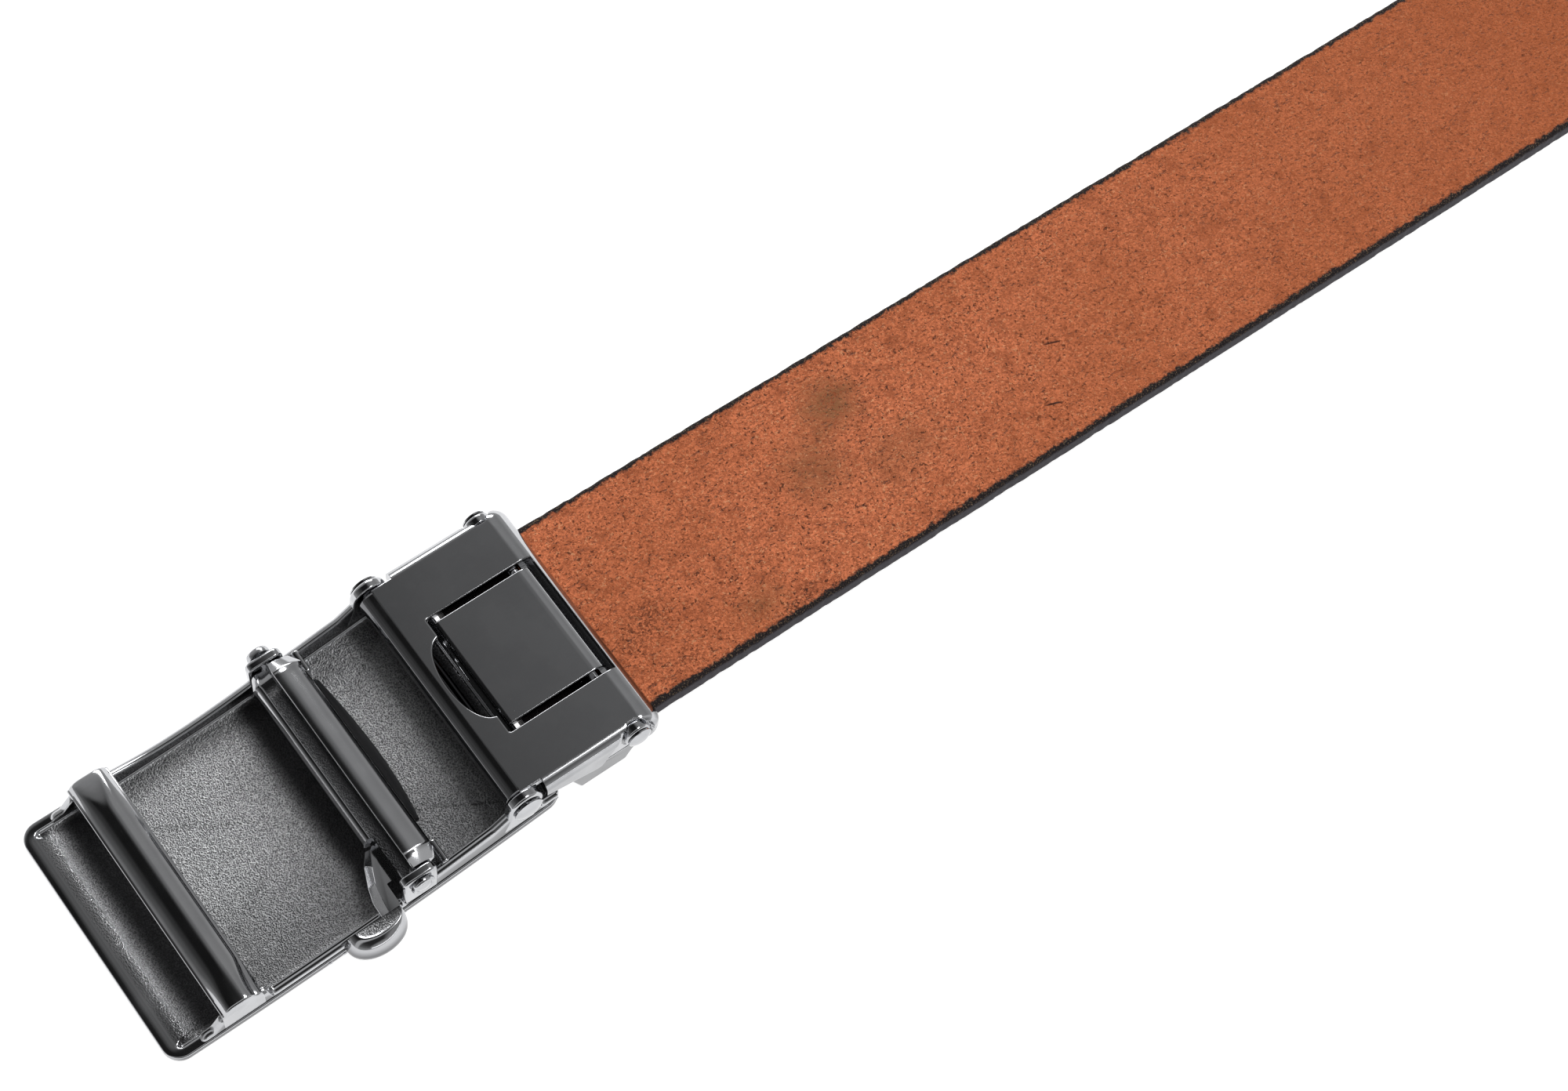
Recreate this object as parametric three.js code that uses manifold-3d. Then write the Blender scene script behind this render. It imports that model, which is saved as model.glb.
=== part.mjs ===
// Ratchet belt seen from its back: an automatic buckle lying face down, with the strap's flesh side up.
// Millimetres. X runs along the belt, from the buckle's free end to the strap's tip. Y runs across it,
// with the release lever on the -Y side. Z is up. Heights are measured from the surface that it lies on.
// While the pieces are built, X = 0 is the axis of the pin that joins the buckle to the clamp.

import * as THREE from 'three';
import { mergeVertices } from 'three/addons/utils/BufferGeometryUtils.js';
import Module from 'manifold-3d';

const wasm = await Module();
wasm.setup();

// Clearances
const gap = 0.3;
const boreClearance = 0.3;
const knuckleSideGap = 0.4;

// Strap: straight leather, one thickness, that slopes down from the clamp to the surface
const strapWidth = 35;
const strapThickness = 3.4;
const strapStart = 7.6;
const strapHeightAtClamp = 5.2;
const strapSlopeFrom = 20;
const strapTouchdown = 205;
const strapEaseLength = 24;
const strapTip = 238;

// Clamp: a folded channel that grips the strap, with a window for the flap
const clampSideRoom = 1.9;
const clampTop = 13.9;
const clampSheet = 1.2;
const clampFoldRadius = 1.8;
const clampRight = 23.7;
const clampRightFoldRadius = 3.6;
const clampWallBottom = 8.4;
const clampWallLeftBottom = 10.7;
const clampWallDeepX = 12.0;
const clampWallEndStep = 0.8;
const clampWallEndInset = 1.4;
const clampEndWallBottom = 9.1;
const hingeAxisZ = 11.6;
const hingeKnuckleRadius = 2.3;
const hingePinRadius = 1.1;
const hingePinHeadRadius = 2.3;
const pinHeadHeight = 0.8;
const windowLeft = 3.95;
const windowRight = 22.2;
const notchWidth = 14.8;
const notchDepth = 3.4;
const notchShallowFloor = 13.1;
const notchDeepFrom = 2.75;
const jawLeft = 9.6;
const jawRight = 18.0;
const jawThickness = 1.2;
const flangeLeft = 7.4;
const flangeRight = 19.6;
const flangeRecess = 0.5;

// Flap: the square lid of the clamp, with the cam that bites on the strap
const flapLeft = 4.6;
const flapWidth = 19.2;
const flapSideGap = 1.05;
const flapThickness = 1.3;
const flapAxisX = 19.15;
const flapAxisZ = 11.5;
const flapPinRadius = 1.0;
const flapPinHeadRadius = 1.9;

// Face plate: a shallow tray, bent to an arc so that its polished face bulges towards the surface
const plateLeft = -59.3;
const plateRight = 6.5;
const plateMargin = 0.3;
const plateCornerRadius = 2.8;
const plateBendRadius = 339;
const plateLowestX = -57.7;
const plateFloorThickness = 1.1;
const plateRimThickness = 1.6;
const plateRimWidth = 1.6;

// Buckle frame: two scalloped rails, the bridge bar, the pawl ears and the hinge ears
const railWall = 1.4;
const railLeft = -54.2;
const railRight = 5.4;
const railFootLength = 1.8;
const railFootRise = 2.1;
const railShoulderRise = 4.6;
const railScallopRise = 3.4;
const railPawlRise = 4.2;
const railHingeRise = 5.2;
const railPeakRise = 6.6;
const railPeakX = -2.5;
const leverWindowRise = 2.3;
const leverWindowLeft = -42.6;
const leverWindowRight = -20.8;
const leverWindowEase = 1.1;
const bridgeLeft = -50.6;
const bridgeRight = -44.0;
const bridgeCrownHeight = 8.0;
const bridgeEdgeHeight = 6.6;
const bridgeThickness = 2.0;
const pawlEarHalfLength = 2.85;
const pawlEarTop = 11.3;
const pawlEarCornerRadius = 1.2;
const hingeEarRadius = 2.9;
const lugThickness = 1.1;
const lugReach = 3.4;
const lugTop = 8.2;
const lugToPawl = 0.7;

// Pawl: the cross casting that carries the tooth blade, and its release lever
const pawlAxisX = -17.9;
const pawlAxisZ = 9.4;
const pawlHalfWidth = 3.5;
const pawlUnderside = 7.4;
const pawlLipHeight = 10.4;
const pawlLipWidth = 1.1;
const pawlGrooveHeight = 10.1;
const pawlWebHeight = 10.9;
const pawlCrownRadius = 5.36;
const pawlCrownX = -17.34;
const pawlCrownZ = 6.33;
const pawlHubLeft = -18.17;
const pawlHubShoulder = 11.39;
const pawlHubRight = -13.55;
const pawlHubEdge = 10.05;
const pawlHubUnderside = 9.55;
const pawlPinRadius = 0.9;
const pawlPinHeadRadius = 1.85;
const pawlPinFarHeadHeight = 1.4;
const bladeThickness = 1.0;
const bladeRootX = -14.2;
const bladeRootZ = 8.5;
const bladeEdgeX = -11.9;
const bladeEdgeZ = 4.9;
const bladeHalfLength = 13.0;
const bladeCentreY = 0.9;
const bladeBow = 1.4;
const leverRootY = -11.6;
const leverRootInset = 1.4;
const leverThickness = 1.6;
const leverUnderside = 6.4;
const tabLeft = -31.3;
const tabRight = -21.6;
const tabReach = 4.0;
const tabBase = 1.7;
const tabTopInset = 0.9;
const tabThickness = 3.4;
const tabUnderside = 4.6;

// Derived sizes: each width follows from the strap's
const strapHalfWidth = strapWidth / 2;
const clampHalfWidth = strapHalfWidth + clampSideRoom + clampSheet;
const plateHalfWidth = clampHalfWidth + plateMargin;
const reachAcross = 2 * plateHalfWidth;
const railOuterY = clampHalfWidth;
const railInnerY = railOuterY - railWall;
const knuckleHalfWidth = railInnerY - knuckleSideGap;
const windowHalfWidth = flapWidth / 2 + flapSideGap;
const pinHeadInnerY = railOuterY + gap;

const materials = {
  gunmetal: { color: 0x4c4e52, roughness: 0.18, metalness: 1.0 },
  sandedGunmetal: { color: 0x46484b, roughness: 0.45, metalness: 1.0 },
  blackSteel: { color: 0x222326, roughness: 0.5, metalness: 0.9 },
  leather: { color: 0xb5603a, roughness: 0.9, metalness: 0.0 },
};

// A closed geometry as a solid that can be joined and cut
function solid(geometry) {
  geometry.deleteAttribute('normal');
  geometry.deleteAttribute('uv');
  const merged = mergeVertices(geometry, 1e-4);
  return new wasm.Manifold(new wasm.Mesh({
    numProp: 3,
    vertProperties: new Float32Array(merged.attributes.position.array),
    triVerts: new Uint32Array(merged.index.array),
  }));
}

// A named mesh from a finished solid
function meshOf(name, body, material) {
  const { vertProperties, triVerts } = body.getMesh();
  const geometry = new THREE.BufferGeometry();
  geometry.setAttribute('position', new THREE.BufferAttribute(vertProperties, 3));
  geometry.setIndex(new THREE.BufferAttribute(triVerts, 1));
  geometry.computeVertexNormals();
  const mesh = new THREE.Mesh(geometry, new THREE.MeshStandardMaterial(material));
  mesh.name = name;
  return mesh;
}

function outlineShape(points) {
  return new THREE.Shape(points.map(([a, b]) => new THREE.Vector2(a, b)));
}

// A side outline of [x, z] points, extruded across the belt from y0 to y1
function sideExtrusion(points, y0, y1) {
  const geometry = new THREE.ExtrudeGeometry(outlineShape(points), { depth: y1 - y0, bevelEnabled: false });
  geometry.rotateX(Math.PI / 2);
  geometry.translate(0, y1, 0);
  return solid(geometry);
}

// A plan outline of [x, y] points, extruded upwards from z0 to z1
function planExtrusion(points, z0, z1) {
  const geometry = new THREE.ExtrudeGeometry(outlineShape(points), { depth: z1 - z0, bevelEnabled: false });
  geometry.translate(0, 0, z0);
  return solid(geometry);
}

// An end outline of [y, z] points, extruded along the belt from x0 to x1
function endExtrusion(points, x0, x1) {
  const geometry = new THREE.ExtrudeGeometry(outlineShape(points), { depth: x1 - x0, bevelEnabled: false });
  geometry.rotateX(Math.PI / 2);
  geometry.rotateZ(Math.PI / 2);
  geometry.translate(x0, 0, 0);
  return solid(geometry);
}

// A round bar along Y
function roundBar(x, z, radius, y0, y1, sides = 24) {
  const geometry = new THREE.CylinderGeometry(radius, radius, y1 - y0, sides);
  geometry.translate(x, (y0 + y1) / 2, z);
  return solid(geometry);
}

// Points on an arc about a centre, angles in degrees counter-clockwise from +X
function arc(centreX, centreY, radius, fromDegrees, toDegrees, steps) {
  return Array.from({ length: steps + 1 }, (_, i) => {
    const angle = THREE.MathUtils.degToRad(fromDegrees + ((toDegrees - fromDegrees) * i) / steps);
    return [centreX + radius * Math.cos(angle), centreY + radius * Math.sin(angle)];
  });
}

function roundedRectangle(x0, x1, y0, y1, radius, steps = 5) {
  return [
    ...arc(x1 - radius, y0 + radius, radius, -90, 0, steps),
    ...arc(x1 - radius, y1 - radius, radius, 0, 90, steps),
    ...arc(x0 + radius, y1 - radius, radius, 90, 180, steps),
    ...arc(x0 + radius, y0 + radius, radius, 180, 270, steps),
  ];
}

// Height of a surface that lies a given distance inside the face plate's underside
function bendHeight(x, inside = 0) {
  const radius = plateBendRadius - inside;
  return plateBendRadius - Math.sqrt(radius ** 2 - (x - plateLowestX) ** 2);
}

// A side outline between two surfaces that both follow the bend of the plate
function bentBand(x0, x1, insideLow, insideHigh, steps) {
  const xs = Array.from({ length: steps + 1 }, (_, i) => x0 + ((x1 - x0) * i) / steps);
  const low = xs.map((x) => [x, bendHeight(x, insideLow)]);
  const high = xs.map((x) => [x, bendHeight(x, insideHigh)]).reverse();
  return [...low, ...high];
}

function facePlate() {
  const outline = roundedRectangle(plateLeft, plateRight, -plateHalfWidth, plateHalfWidth, plateCornerRadius);
  const column = planExtrusion(outline, -1, clampTop);
  const wholeDepth = bentBand(plateLeft - 1, plateRight + 1, 0, plateRimThickness, 22);
  const slab = sideExtrusion(wholeDepth, -reachAcross, reachAcross);
  const tray = roundedRectangle(plateLeft + plateRimWidth, plateRight - plateRimWidth,
    plateRimWidth - plateHalfWidth, plateHalfWidth - plateRimWidth, plateCornerRadius - plateRimWidth / 2);
  const aboveFloor = bentBand(plateLeft - 1, plateRight + 1, plateFloorThickness, plateRimThickness + 1, 22);
  const trayColumn = planExtrusion(tray, -1, clampTop);
  const hollow = sideExtrusion(aboveFloor, -reachAcross, reachAcross).intersect(trayColumn);
  return meshOf('face_plate', slab.intersect(column).subtract(hollow), materials.sandedGunmetal);
}

// Height of a rail's top edge above the underside of the plate. It rises from its foot to the bridge,
// dips in a scallop as far as the pawl's ear, and sweeps up to its peak beside the hinge.
function railEdge() {
  const pawlEarLeft = pawlAxisX - pawlEarHalfLength;
  const pawlEarRight = pawlAxisX + pawlEarHalfLength;
  const steps = 6;
  const scallop = Array.from({ length: steps + 1 }, (_, i) => {
    const share = -1 + (2 * i) / steps;
    const endRise = share < 0 ? railShoulderRise : railPawlRise;
    const middle = (bridgeRight + pawlEarLeft) / 2;
    const x = middle + (share * (pawlEarLeft - bridgeRight)) / 2;
    return [x, railScallopRise + (endRise - railScallopRise) * share ** 2];
  });
  return [
    [railLeft, railFootRise],
    [railLeft + railFootLength, railFootRise + gap],
    [bridgeLeft, railShoulderRise],
    ...scallop,
    [(pawlEarRight + 3 * railPeakX) / 4, railHingeRise],
    [railPeakX, railPeakRise],
    [hingeEarRadius / 2, railHingeRise],
    [hingeEarRadius, railFootRise + gap],
    [railRight, railFootRise],
  ];
}

// One rail, from its seat on the plate's rim up to its top edge
function rail(y0, y1) {
  const edge = railEdge();
  const seat = edge.map(([x]) => [x, bendHeight(x, plateRimThickness + gap)]);
  const top = edge.map(([x, rise]) => [x, bendHeight(x) + rise]).reverse();
  return sideExtrusion([...seat, ...top], y0, y1);
}

// The cut in the near rail that the release lever moves in, with sloping ends
function leverWindow() {
  const xs = [leverWindowLeft, (leverWindowLeft + leverWindowRight) / 2, leverWindowRight];
  const floor = xs.map((x) => [x, bendHeight(x) + leverWindowRise]);
  const outline = [
    ...floor,
    [leverWindowRight + leverWindowEase, clampTop],
    [leverWindowLeft - leverWindowEase, clampTop],
  ];
  return sideExtrusion(outline, -reachAcross, 0);
}

// The ear that carries one end of the pawl's pin
function pawlEar(y0, y1) {
  const left = pawlAxisX - pawlEarHalfLength;
  const right = pawlAxisX + pawlEarHalfLength;
  const seat = bendHeight(pawlAxisX) + railFootRise;
  const outline = [
    [left, seat],
    [right, seat],
    ...arc(right - pawlEarCornerRadius, pawlEarTop - pawlEarCornerRadius, pawlEarCornerRadius, 0, 90, 4),
    ...arc(left + pawlEarCornerRadius, pawlEarTop - pawlEarCornerRadius, pawlEarCornerRadius, 90, 180, 4),
  ];
  return sideExtrusion(outline, y0, y1);
}

// The ear that carries one end of the pin between buckle and clamp
function hingeEar(y0, y1) {
  const foot = bendHeight(0) + railFootRise;
  const outline = [
    [railPeakX - hingeEarRadius / 2, foot],
    [hingeEarRadius / 2, foot],
    ...arc(0, hingeAxisZ, hingeEarRadius, -40, 180, 14),
  ];
  return sideExtrusion(outline, y0, y1);
}

// The bar that crosses over the strap's passage, crowned along the belt
function bridgeBar() {
  const middle = (bridgeLeft + bridgeRight) / 2;
  const halfLength = (bridgeRight - bridgeLeft) / 2;
  const crown = bridgeCrownHeight - bridgeEdgeHeight;
  const steps = 10;
  const top = Array.from({ length: steps + 1 }, (_, i) => {
    const share = 1 - (2 * i) / steps;
    return [middle + halfLength * share, bridgeEdgeHeight + crown * (1 - share ** 2)];
  });
  const underside = bridgeEdgeHeight - bridgeThickness + crown;
  return sideExtrusion([[bridgeLeft, underside], [bridgeRight, underside], ...top], -railOuterY, railOuterY);
}

function bridgeLegs() {
  const foot = bendHeight(bridgeLeft) + railFootRise;
  const top = bridgeEdgeHeight;
  const leg = [
    [bridgeLeft, foot],
    [bridgeRight, foot],
    [bridgeRight, top],
    [bridgeLeft, top],
  ];
  return [-1, 1].map((side) => sideExtrusion(leg, Math.min(side * railInnerY, side * railOuterY),
    Math.max(side * railInnerY, side * railOuterY)));
}

// The short lug beside the pawl on one side, which stops the casting from shifting
function lug(side) {
  const x0 = pawlAxisX + pawlHalfWidth + lugToPawl;
  const inner = side * (railInnerY - lugReach);
  const outer = side * railOuterY;
  const foot = bendHeight(x0) + railFootRise;
  return sideExtrusion([[x0, foot], [x0 + lugThickness, foot], [x0 + lugThickness, lugTop], [x0, lugTop]],
    Math.min(inner, outer), Math.max(inner, outer));
}

function buckleFrame() {
  const bothSides = [-1, 1].flatMap((side) => {
    const y0 = Math.min(side * railInnerY, side * railOuterY);
    const y1 = Math.max(side * railInnerY, side * railOuterY);
    const plainRail = rail(y0, y1);
    const cutRail = side < 0 ? plainRail.subtract(leverWindow()) : plainRail;
    return [cutRail, pawlEar(y0, y1), hingeEar(y0, y1), lug(side)];
  });
  const frame = [...bridgeLegs(), ...bothSides].reduce((sum, piece) => sum.add(piece), bridgeBar());
  const pawlBore = roundBar(pawlAxisX, pawlAxisZ, pawlPinRadius + boreClearance, -reachAcross, reachAcross);
  const hingeBore = roundBar(0, hingeAxisZ, hingePinRadius + boreClearance, -reachAcross, reachAcross);
  return meshOf('buckle_frame', frame.subtract(pawlBore).subtract(hingeBore), materials.gunmetal);
}

// A pin along Y with a domed head at each end
function headedPin(name, x, z, radius, headRadius, farHeadHeight = pinHeadHeight) {
  const dome = (side) => {
    const rim = side * pinHeadInnerY;
    const height = side > 0 ? farHeadHeight : pinHeadHeight;
    const geometry = new THREE.LatheGeometry([
      new THREE.Vector2(0, 0),
      new THREE.Vector2(headRadius, 0),
      new THREE.Vector2(headRadius, height * 0.4),
      new THREE.Vector2(headRadius * 0.8, height * 0.8),
      new THREE.Vector2(headRadius * 0.4, height),
      new THREE.Vector2(0, height),
    ], 20);
    if (side < 0) geometry.rotateX(Math.PI);
    geometry.translate(x, rim, z);
    return solid(geometry);
  };
  const shank = roundBar(x, z, radius, -pinHeadInnerY - 0.1, pinHeadInnerY + 0.1, 20);
  return meshOf(name, shank.add(dome(1)).add(dome(-1)), materials.gunmetal);
}

// The release lever seen from above: a crescent arm that ends in a D-shaped thumb tab
function leverArm() {
  const tabY = -plateHalfWidth - gap;
  const left = pawlAxisX - pawlHalfWidth;
  const outline = [
    [left + 1.0, leverRootY],
    [left - 0.4, leverRootY - 0.9],
    [left - 2.0, leverRootY - 3.0],
    [left - 3.2, leverRootY - 5.6],
    [left - 3.7, tabY - 0.4],
    [tabRight, tabY - 0.4],
    [tabRight - 0.1, -railInnerY + 1.4],
    [left + 1.0, -railInnerY + 1.2],
  ];
  return planExtrusion(outline, leverUnderside, leverUnderside + leverThickness);
}

// The thumb tab: a D-shaped button whose side flares outwards towards its foot
function leverTab() {
  const tabY = -plateHalfWidth - gap;
  const layer = (inset, z0, z1) => {
    const middle = (tabLeft + inset + tabRight) / 2;
    const halfLength = (tabRight - tabLeft - inset) / 2;
    const steps = 14;
    const bow = Array.from({ length: steps + 1 }, (_, i) => {
      const angle = Math.PI * (1 - i / steps);
      return [middle + halfLength * Math.cos(angle), tabY - (tabReach - inset) * Math.sin(angle) ** 0.8];
    });
    return planExtrusion(bow, z0, z1);
  };
  const base = layer(0, tabUnderside, tabUnderside + tabBase);
  return base.add(layer(tabTopInset, tabUnderside + tabBase - 0.2, tabUnderside + tabThickness));
}

function pawlLever() {
  const left = pawlAxisX - pawlHalfWidth;
  const right = pawlAxisX + pawlHalfWidth;
  const halfLength = railInnerY - gap;
  const profile = [
    [left, pawlUnderside],
    [right, pawlUnderside],
    [right, pawlHubUnderside],
    [pawlHubRight - 0.1, pawlHubUnderside + 0.2],
    [pawlHubRight, pawlHubEdge],
    ...arc(pawlCrownX, pawlCrownZ, pawlCrownRadius, 48, 96, 8),
    [pawlHubLeft, pawlHubShoulder],
    [pawlHubLeft - 0.1, pawlWebHeight],
    [left + pawlLipWidth + 0.2, pawlGrooveHeight],
    [left + pawlLipWidth, pawlLipHeight],
    [left, pawlLipHeight - 0.3],
  ];
  const bore = roundBar(pawlAxisX, pawlAxisZ, pawlPinRadius + boreClearance, -reachAcross, reachAcross);
  const besideArm = planExtrusion([
    [left - 1, -halfLength - 1],
    [left + leverRootInset, -halfLength - 1],
    [left + leverRootInset, leverRootY],
    [left - 1, leverRootY],
  ], leverUnderside + leverThickness, clampTop);
  const casting = sideExtrusion(profile, -halfLength, halfLength).subtract(besideArm);
  const lever = casting.add(leverArm()).add(leverTab());
  return meshOf('pawl_lever', lever.subtract(bore), materials.gunmetal);
}

// The steel blade whose bowed edge drops into the teeth of the strap's track
function toothBlade() {
  const slope = new THREE.Vector2(bladeEdgeX - bladeRootX, bladeEdgeZ - bladeRootZ).normalize();
  const across = new THREE.Vector2(-slope.y, slope.x).multiplyScalar(bladeThickness);
  const profile = [
    [bladeRootX, bladeRootZ],
    [bladeEdgeX, bladeEdgeZ],
    [bladeEdgeX + across.x, bladeEdgeZ + across.y],
    [bladeRootX + across.x, bladeRootZ + across.y],
  ];
  const y0 = bladeCentreY - bladeHalfLength;
  const y1 = bladeCentreY + bladeHalfLength;
  const steps = 10;
  const bow = Array.from({ length: steps + 1 }, (_, i) => {
    const share = -1 + (2 * i) / steps;
    return [bladeEdgeX + across.x - bladeBow * share ** 2, bladeCentreY + bladeHalfLength * share];
  });
  const reach = planExtrusion([[bladeRootX - 2, y0], ...bow, [bladeRootX - 2, y1]], 0, clampTop);
  const body = sideExtrusion(profile, y0, y1);
  return meshOf('tooth_blade', body.intersect(reach), materials.blackSteel);
}

// The channel's skin across the belt: a flat top with rounded folds down into both walls
function channelSection() {
  const outer = clampHalfWidth;
  const inner = outer - clampSheet;
  const foldY = outer - clampFoldRadius;
  const innerFold = clampFoldRadius - clampSheet;
  return [
    [outer, clampWallBottom],
    ...arc(foldY, clampTop - clampFoldRadius, clampFoldRadius, 0, 90, 5),
    ...arc(-foldY, clampTop - clampFoldRadius, clampFoldRadius, 90, 180, 5),
    [-outer, clampWallBottom],
    [-inner, clampWallBottom],
    ...arc(-foldY, clampTop - clampFoldRadius, innerFold, 180, 90, 3),
    ...arc(foldY, clampTop - clampFoldRadius, innerFold, 90, 0, 3),
    [inner, clampWallBottom],
  ];
}

// The rounded right end of the channel, above the strap
function channelEnd() {
  const outerRadius = clampRightFoldRadius;
  const innerRadius = outerRadius - clampSheet;
  const centreX = clampRight - outerRadius;
  const centreZ = clampTop - outerRadius;
  const outline = [
    [clampRight, clampEndWallBottom],
    ...arc(centreX, centreZ, outerRadius, 0, 90, 7),
    ...arc(centreX, centreZ, innerRadius, 90, 0, 6),
    [clampRight - clampSheet, clampEndWallBottom],
  ];
  const halfWidth = clampHalfWidth - clampFoldRadius;
  return sideExtrusion(outline, -halfWidth, halfWidth);
}

// The corner where one wall meets the right end, rounded in two layers from the inside out
function wallEnd(side) {
  const centreX = clampRight - clampRightFoldRadius;
  const centreZ = clampTop - clampRightFoldRadius;
  const stepY = clampHalfWidth - clampWallEndStep;
  const layers = [
    { inner: clampHalfWidth - clampFoldRadius - 0.1, outer: stepY, radius: clampRightFoldRadius - gap },
    { inner: stepY - 0.1, outer: clampHalfWidth, radius: clampRightFoldRadius - clampWallEndInset },
  ];
  return layers.map(({ inner, outer, radius }) => {
    const lowest = THREE.MathUtils.radToDeg(Math.asin((clampWallBottom - centreZ) / radius));
    const outline = [
      ...arc(centreX, centreZ, radius, lowest, 90, 8),
      [centreX - 0.5, centreZ + radius],
      [centreX - 0.5, clampWallBottom],
    ];
    return sideExtrusion(outline, Math.min(side * inner, side * outer), Math.max(side * inner, side * outer));
  });
}

// One side of the lower jaw: a three-cornered flange that hangs inside the channel's wall
function jawFlange(side) {
  const inner = side * (strapHalfWidth + gap);
  const outer = side * (clampHalfWidth - flangeRecess);
  const jawTop = strapUnderside(jawLeft) - gap - 0.1;
  const jawBottom = jawTop - jawThickness;
  const outline = [
    [flangeLeft, clampWallBottom + 2],
    [jawLeft, jawBottom],
    [jawRight, jawBottom],
    [flangeRight, clampWallBottom + 2],
  ];
  return sideExtrusion(outline, Math.min(inner, outer), Math.max(inner, outer));
}

// The plate of the lower jaw, under the strap
function lowerJaw() {
  const jawTop = strapUnderside(jawRight) - gap - 0.1;
  const jawBottom = jawTop - jawThickness;
  return sideExtrusion([[jawLeft, jawBottom], [jawRight, jawBottom], [jawRight, jawTop], [jawLeft, jawTop]],
    -strapHalfWidth - 2 * gap, strapHalfWidth + 2 * gap);
}

// The thumb notch in the window's left edge, seen from above
function notchOutline() {
  const halfWidth = notchWidth / 2;
  const steps = 12;
  return Array.from({ length: steps + 1 }, (_, i) => {
    const angle = Math.PI * (0.5 + i / steps);
    return [windowLeft + 0.05 + notchDepth * Math.cos(angle), halfWidth * Math.sin(angle)];
  });
}

function clampHousing() {
  const wallStart = hingeEarRadius + 2 * gap;
  const topFromHinge = sideExtrusion([
    [0, clampTop - clampSheet],
    [wallStart + 0.2, clampTop - clampSheet],
    [wallStart + 0.2, clampTop],
    [0, clampTop],
  ], -knuckleHalfWidth, knuckleHalfWidth);
  const straightChannel = endExtrusion(channelSection(), wallStart, clampRight - clampRightFoldRadius);
  const wallSlope = sideExtrusion([
    [wallStart - 1, clampWallBottom - 1],
    [clampWallDeepX, clampWallBottom - 1],
    [clampWallDeepX, clampWallBottom],
    [wallStart, clampWallLeftBottom],
    [wallStart - 1, clampWallLeftBottom],
  ], -reachAcross, reachAcross);
  const channel = straightChannel.subtract(wallSlope);
  const knuckle = roundBar(0, hingeAxisZ, hingeKnuckleRadius, -knuckleHalfWidth, knuckleHalfWidth, 32);
  const jaw = [jawFlange(1), jawFlange(-1), lowerJaw()];
  const pieces = [topFromHinge, channelEnd(), ...wallEnd(1), ...wallEnd(-1), knuckle, ...jaw];
  const whole = pieces.reduce((sum, piece) => sum.add(piece), channel);
  const window = planExtrusion([[windowLeft, -windowHalfWidth], [windowRight, -windowHalfWidth],
    [windowRight, windowHalfWidth], [windowLeft, windowHalfWidth]], clampEndWallBottom, clampTop + 1);
  const notch = planExtrusion(notchOutline(), clampEndWallBottom, clampTop + 1);
  const deepPart = planExtrusion([[notchDeepFrom, -notchWidth], [windowRight, -notchWidth],
    [windowRight, notchWidth], [notchDeepFrom, notchWidth]], 0, clampTop + 1);
  const shallowPart = planExtrusion([[-notchDepth, -notchWidth], [windowRight, -notchWidth],
    [windowRight, notchWidth], [-notchDepth, notchWidth]], notchShallowFloor, clampTop + 2);
  const hingeBore = roundBar(0, hingeAxisZ, hingePinRadius + boreClearance, -reachAcross, reachAcross);
  const flapBore = roundBar(flapAxisX, flapAxisZ, flapPinRadius + boreClearance, -reachAcross, reachAcross);
  const cuts = [window, notch.intersect(deepPart), notch.intersect(shallowPart), hingeBore, flapBore];
  return meshOf('clamp_housing', cuts.reduce((left, cut) => left.subtract(cut), whole), materials.gunmetal);
}

function clampFlap() {
  const half = flapWidth / 2;
  const knuckleRadius = clampTop - flapAxisZ;
  const lid = sideExtrusion([
    [flapLeft, clampTop - flapThickness],
    [flapAxisX, clampTop - flapThickness],
    [flapAxisX, clampTop],
    [flapLeft, clampTop],
  ], -half, half);
  const knuckle = roundBar(flapAxisX, flapAxisZ, knuckleRadius, -half, half, 32);
  const bore = roundBar(flapAxisX, flapAxisZ, flapPinRadius + boreClearance, -reachAcross, reachAcross);
  return meshOf('clamp_flap', lid.add(knuckle).subtract(bore), materials.gunmetal);
}

// Height of the strap's underside: a straight slope that eases out flat on the surface
function strapUnderside(x) {
  const slope = strapHeightAtClamp / (strapTouchdown - strapSlopeFrom);
  const ease = strapEaseLength;
  const ahead = strapTouchdown + ease / 2 - x;
  if (ahead <= 0) return 0;
  if (ahead < ease) return (slope * ahead ** 2) / (2 * ease);
  return slope * (strapTouchdown - x);
}

function strap() {
  const xs = [strapStart];
  for (let x = 20; x < strapTip - 1; x += 6) xs.push(x);
  xs.push(strapTip + 1);
  const low = xs.map((x) => [x, strapUnderside(x)]);
  const high = xs.map((x) => [x, strapUnderside(x) + strapThickness]).reverse();
  const ribbon = sideExtrusion([...low, ...high], -strapHalfWidth, strapHalfWidth);
  const outline = planExtrusion([
    [strapStart, -strapHalfWidth],
    ...arc(strapTip - strapHalfWidth, 0, strapHalfWidth, -90, 90, 24),
    [strapStart, strapHalfWidth],
  ], -1, clampTop);
  return meshOf('strap', ribbon.intersect(outline), materials.leather);
}

const belt = new THREE.Group();
belt.add(strap());
belt.add(clampHousing());
belt.add(headedPin('hinge_pin', 0, hingeAxisZ, hingePinRadius, hingePinHeadRadius));
belt.add(headedPin('flap_pin', flapAxisX, flapAxisZ, flapPinRadius, flapPinHeadRadius));
belt.add(clampFlap());
belt.add(facePlate());
belt.add(buckleFrame());
belt.add(headedPin('pawl_pin', pawlAxisX, pawlAxisZ, pawlPinRadius, pawlPinHeadRadius, pawlPinFarHeadHeight));
belt.add(pawlLever());
belt.add(toothBlade());

// The origin is the middle of the whole belt's box, on the surface that it lies on
const box = new THREE.Box3().setFromObject(belt);
belt.position.set(-(box.min.x + box.max.x) / 2, -(box.min.y + box.max.y) / 2, -box.min.z);

export default belt;
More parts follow.
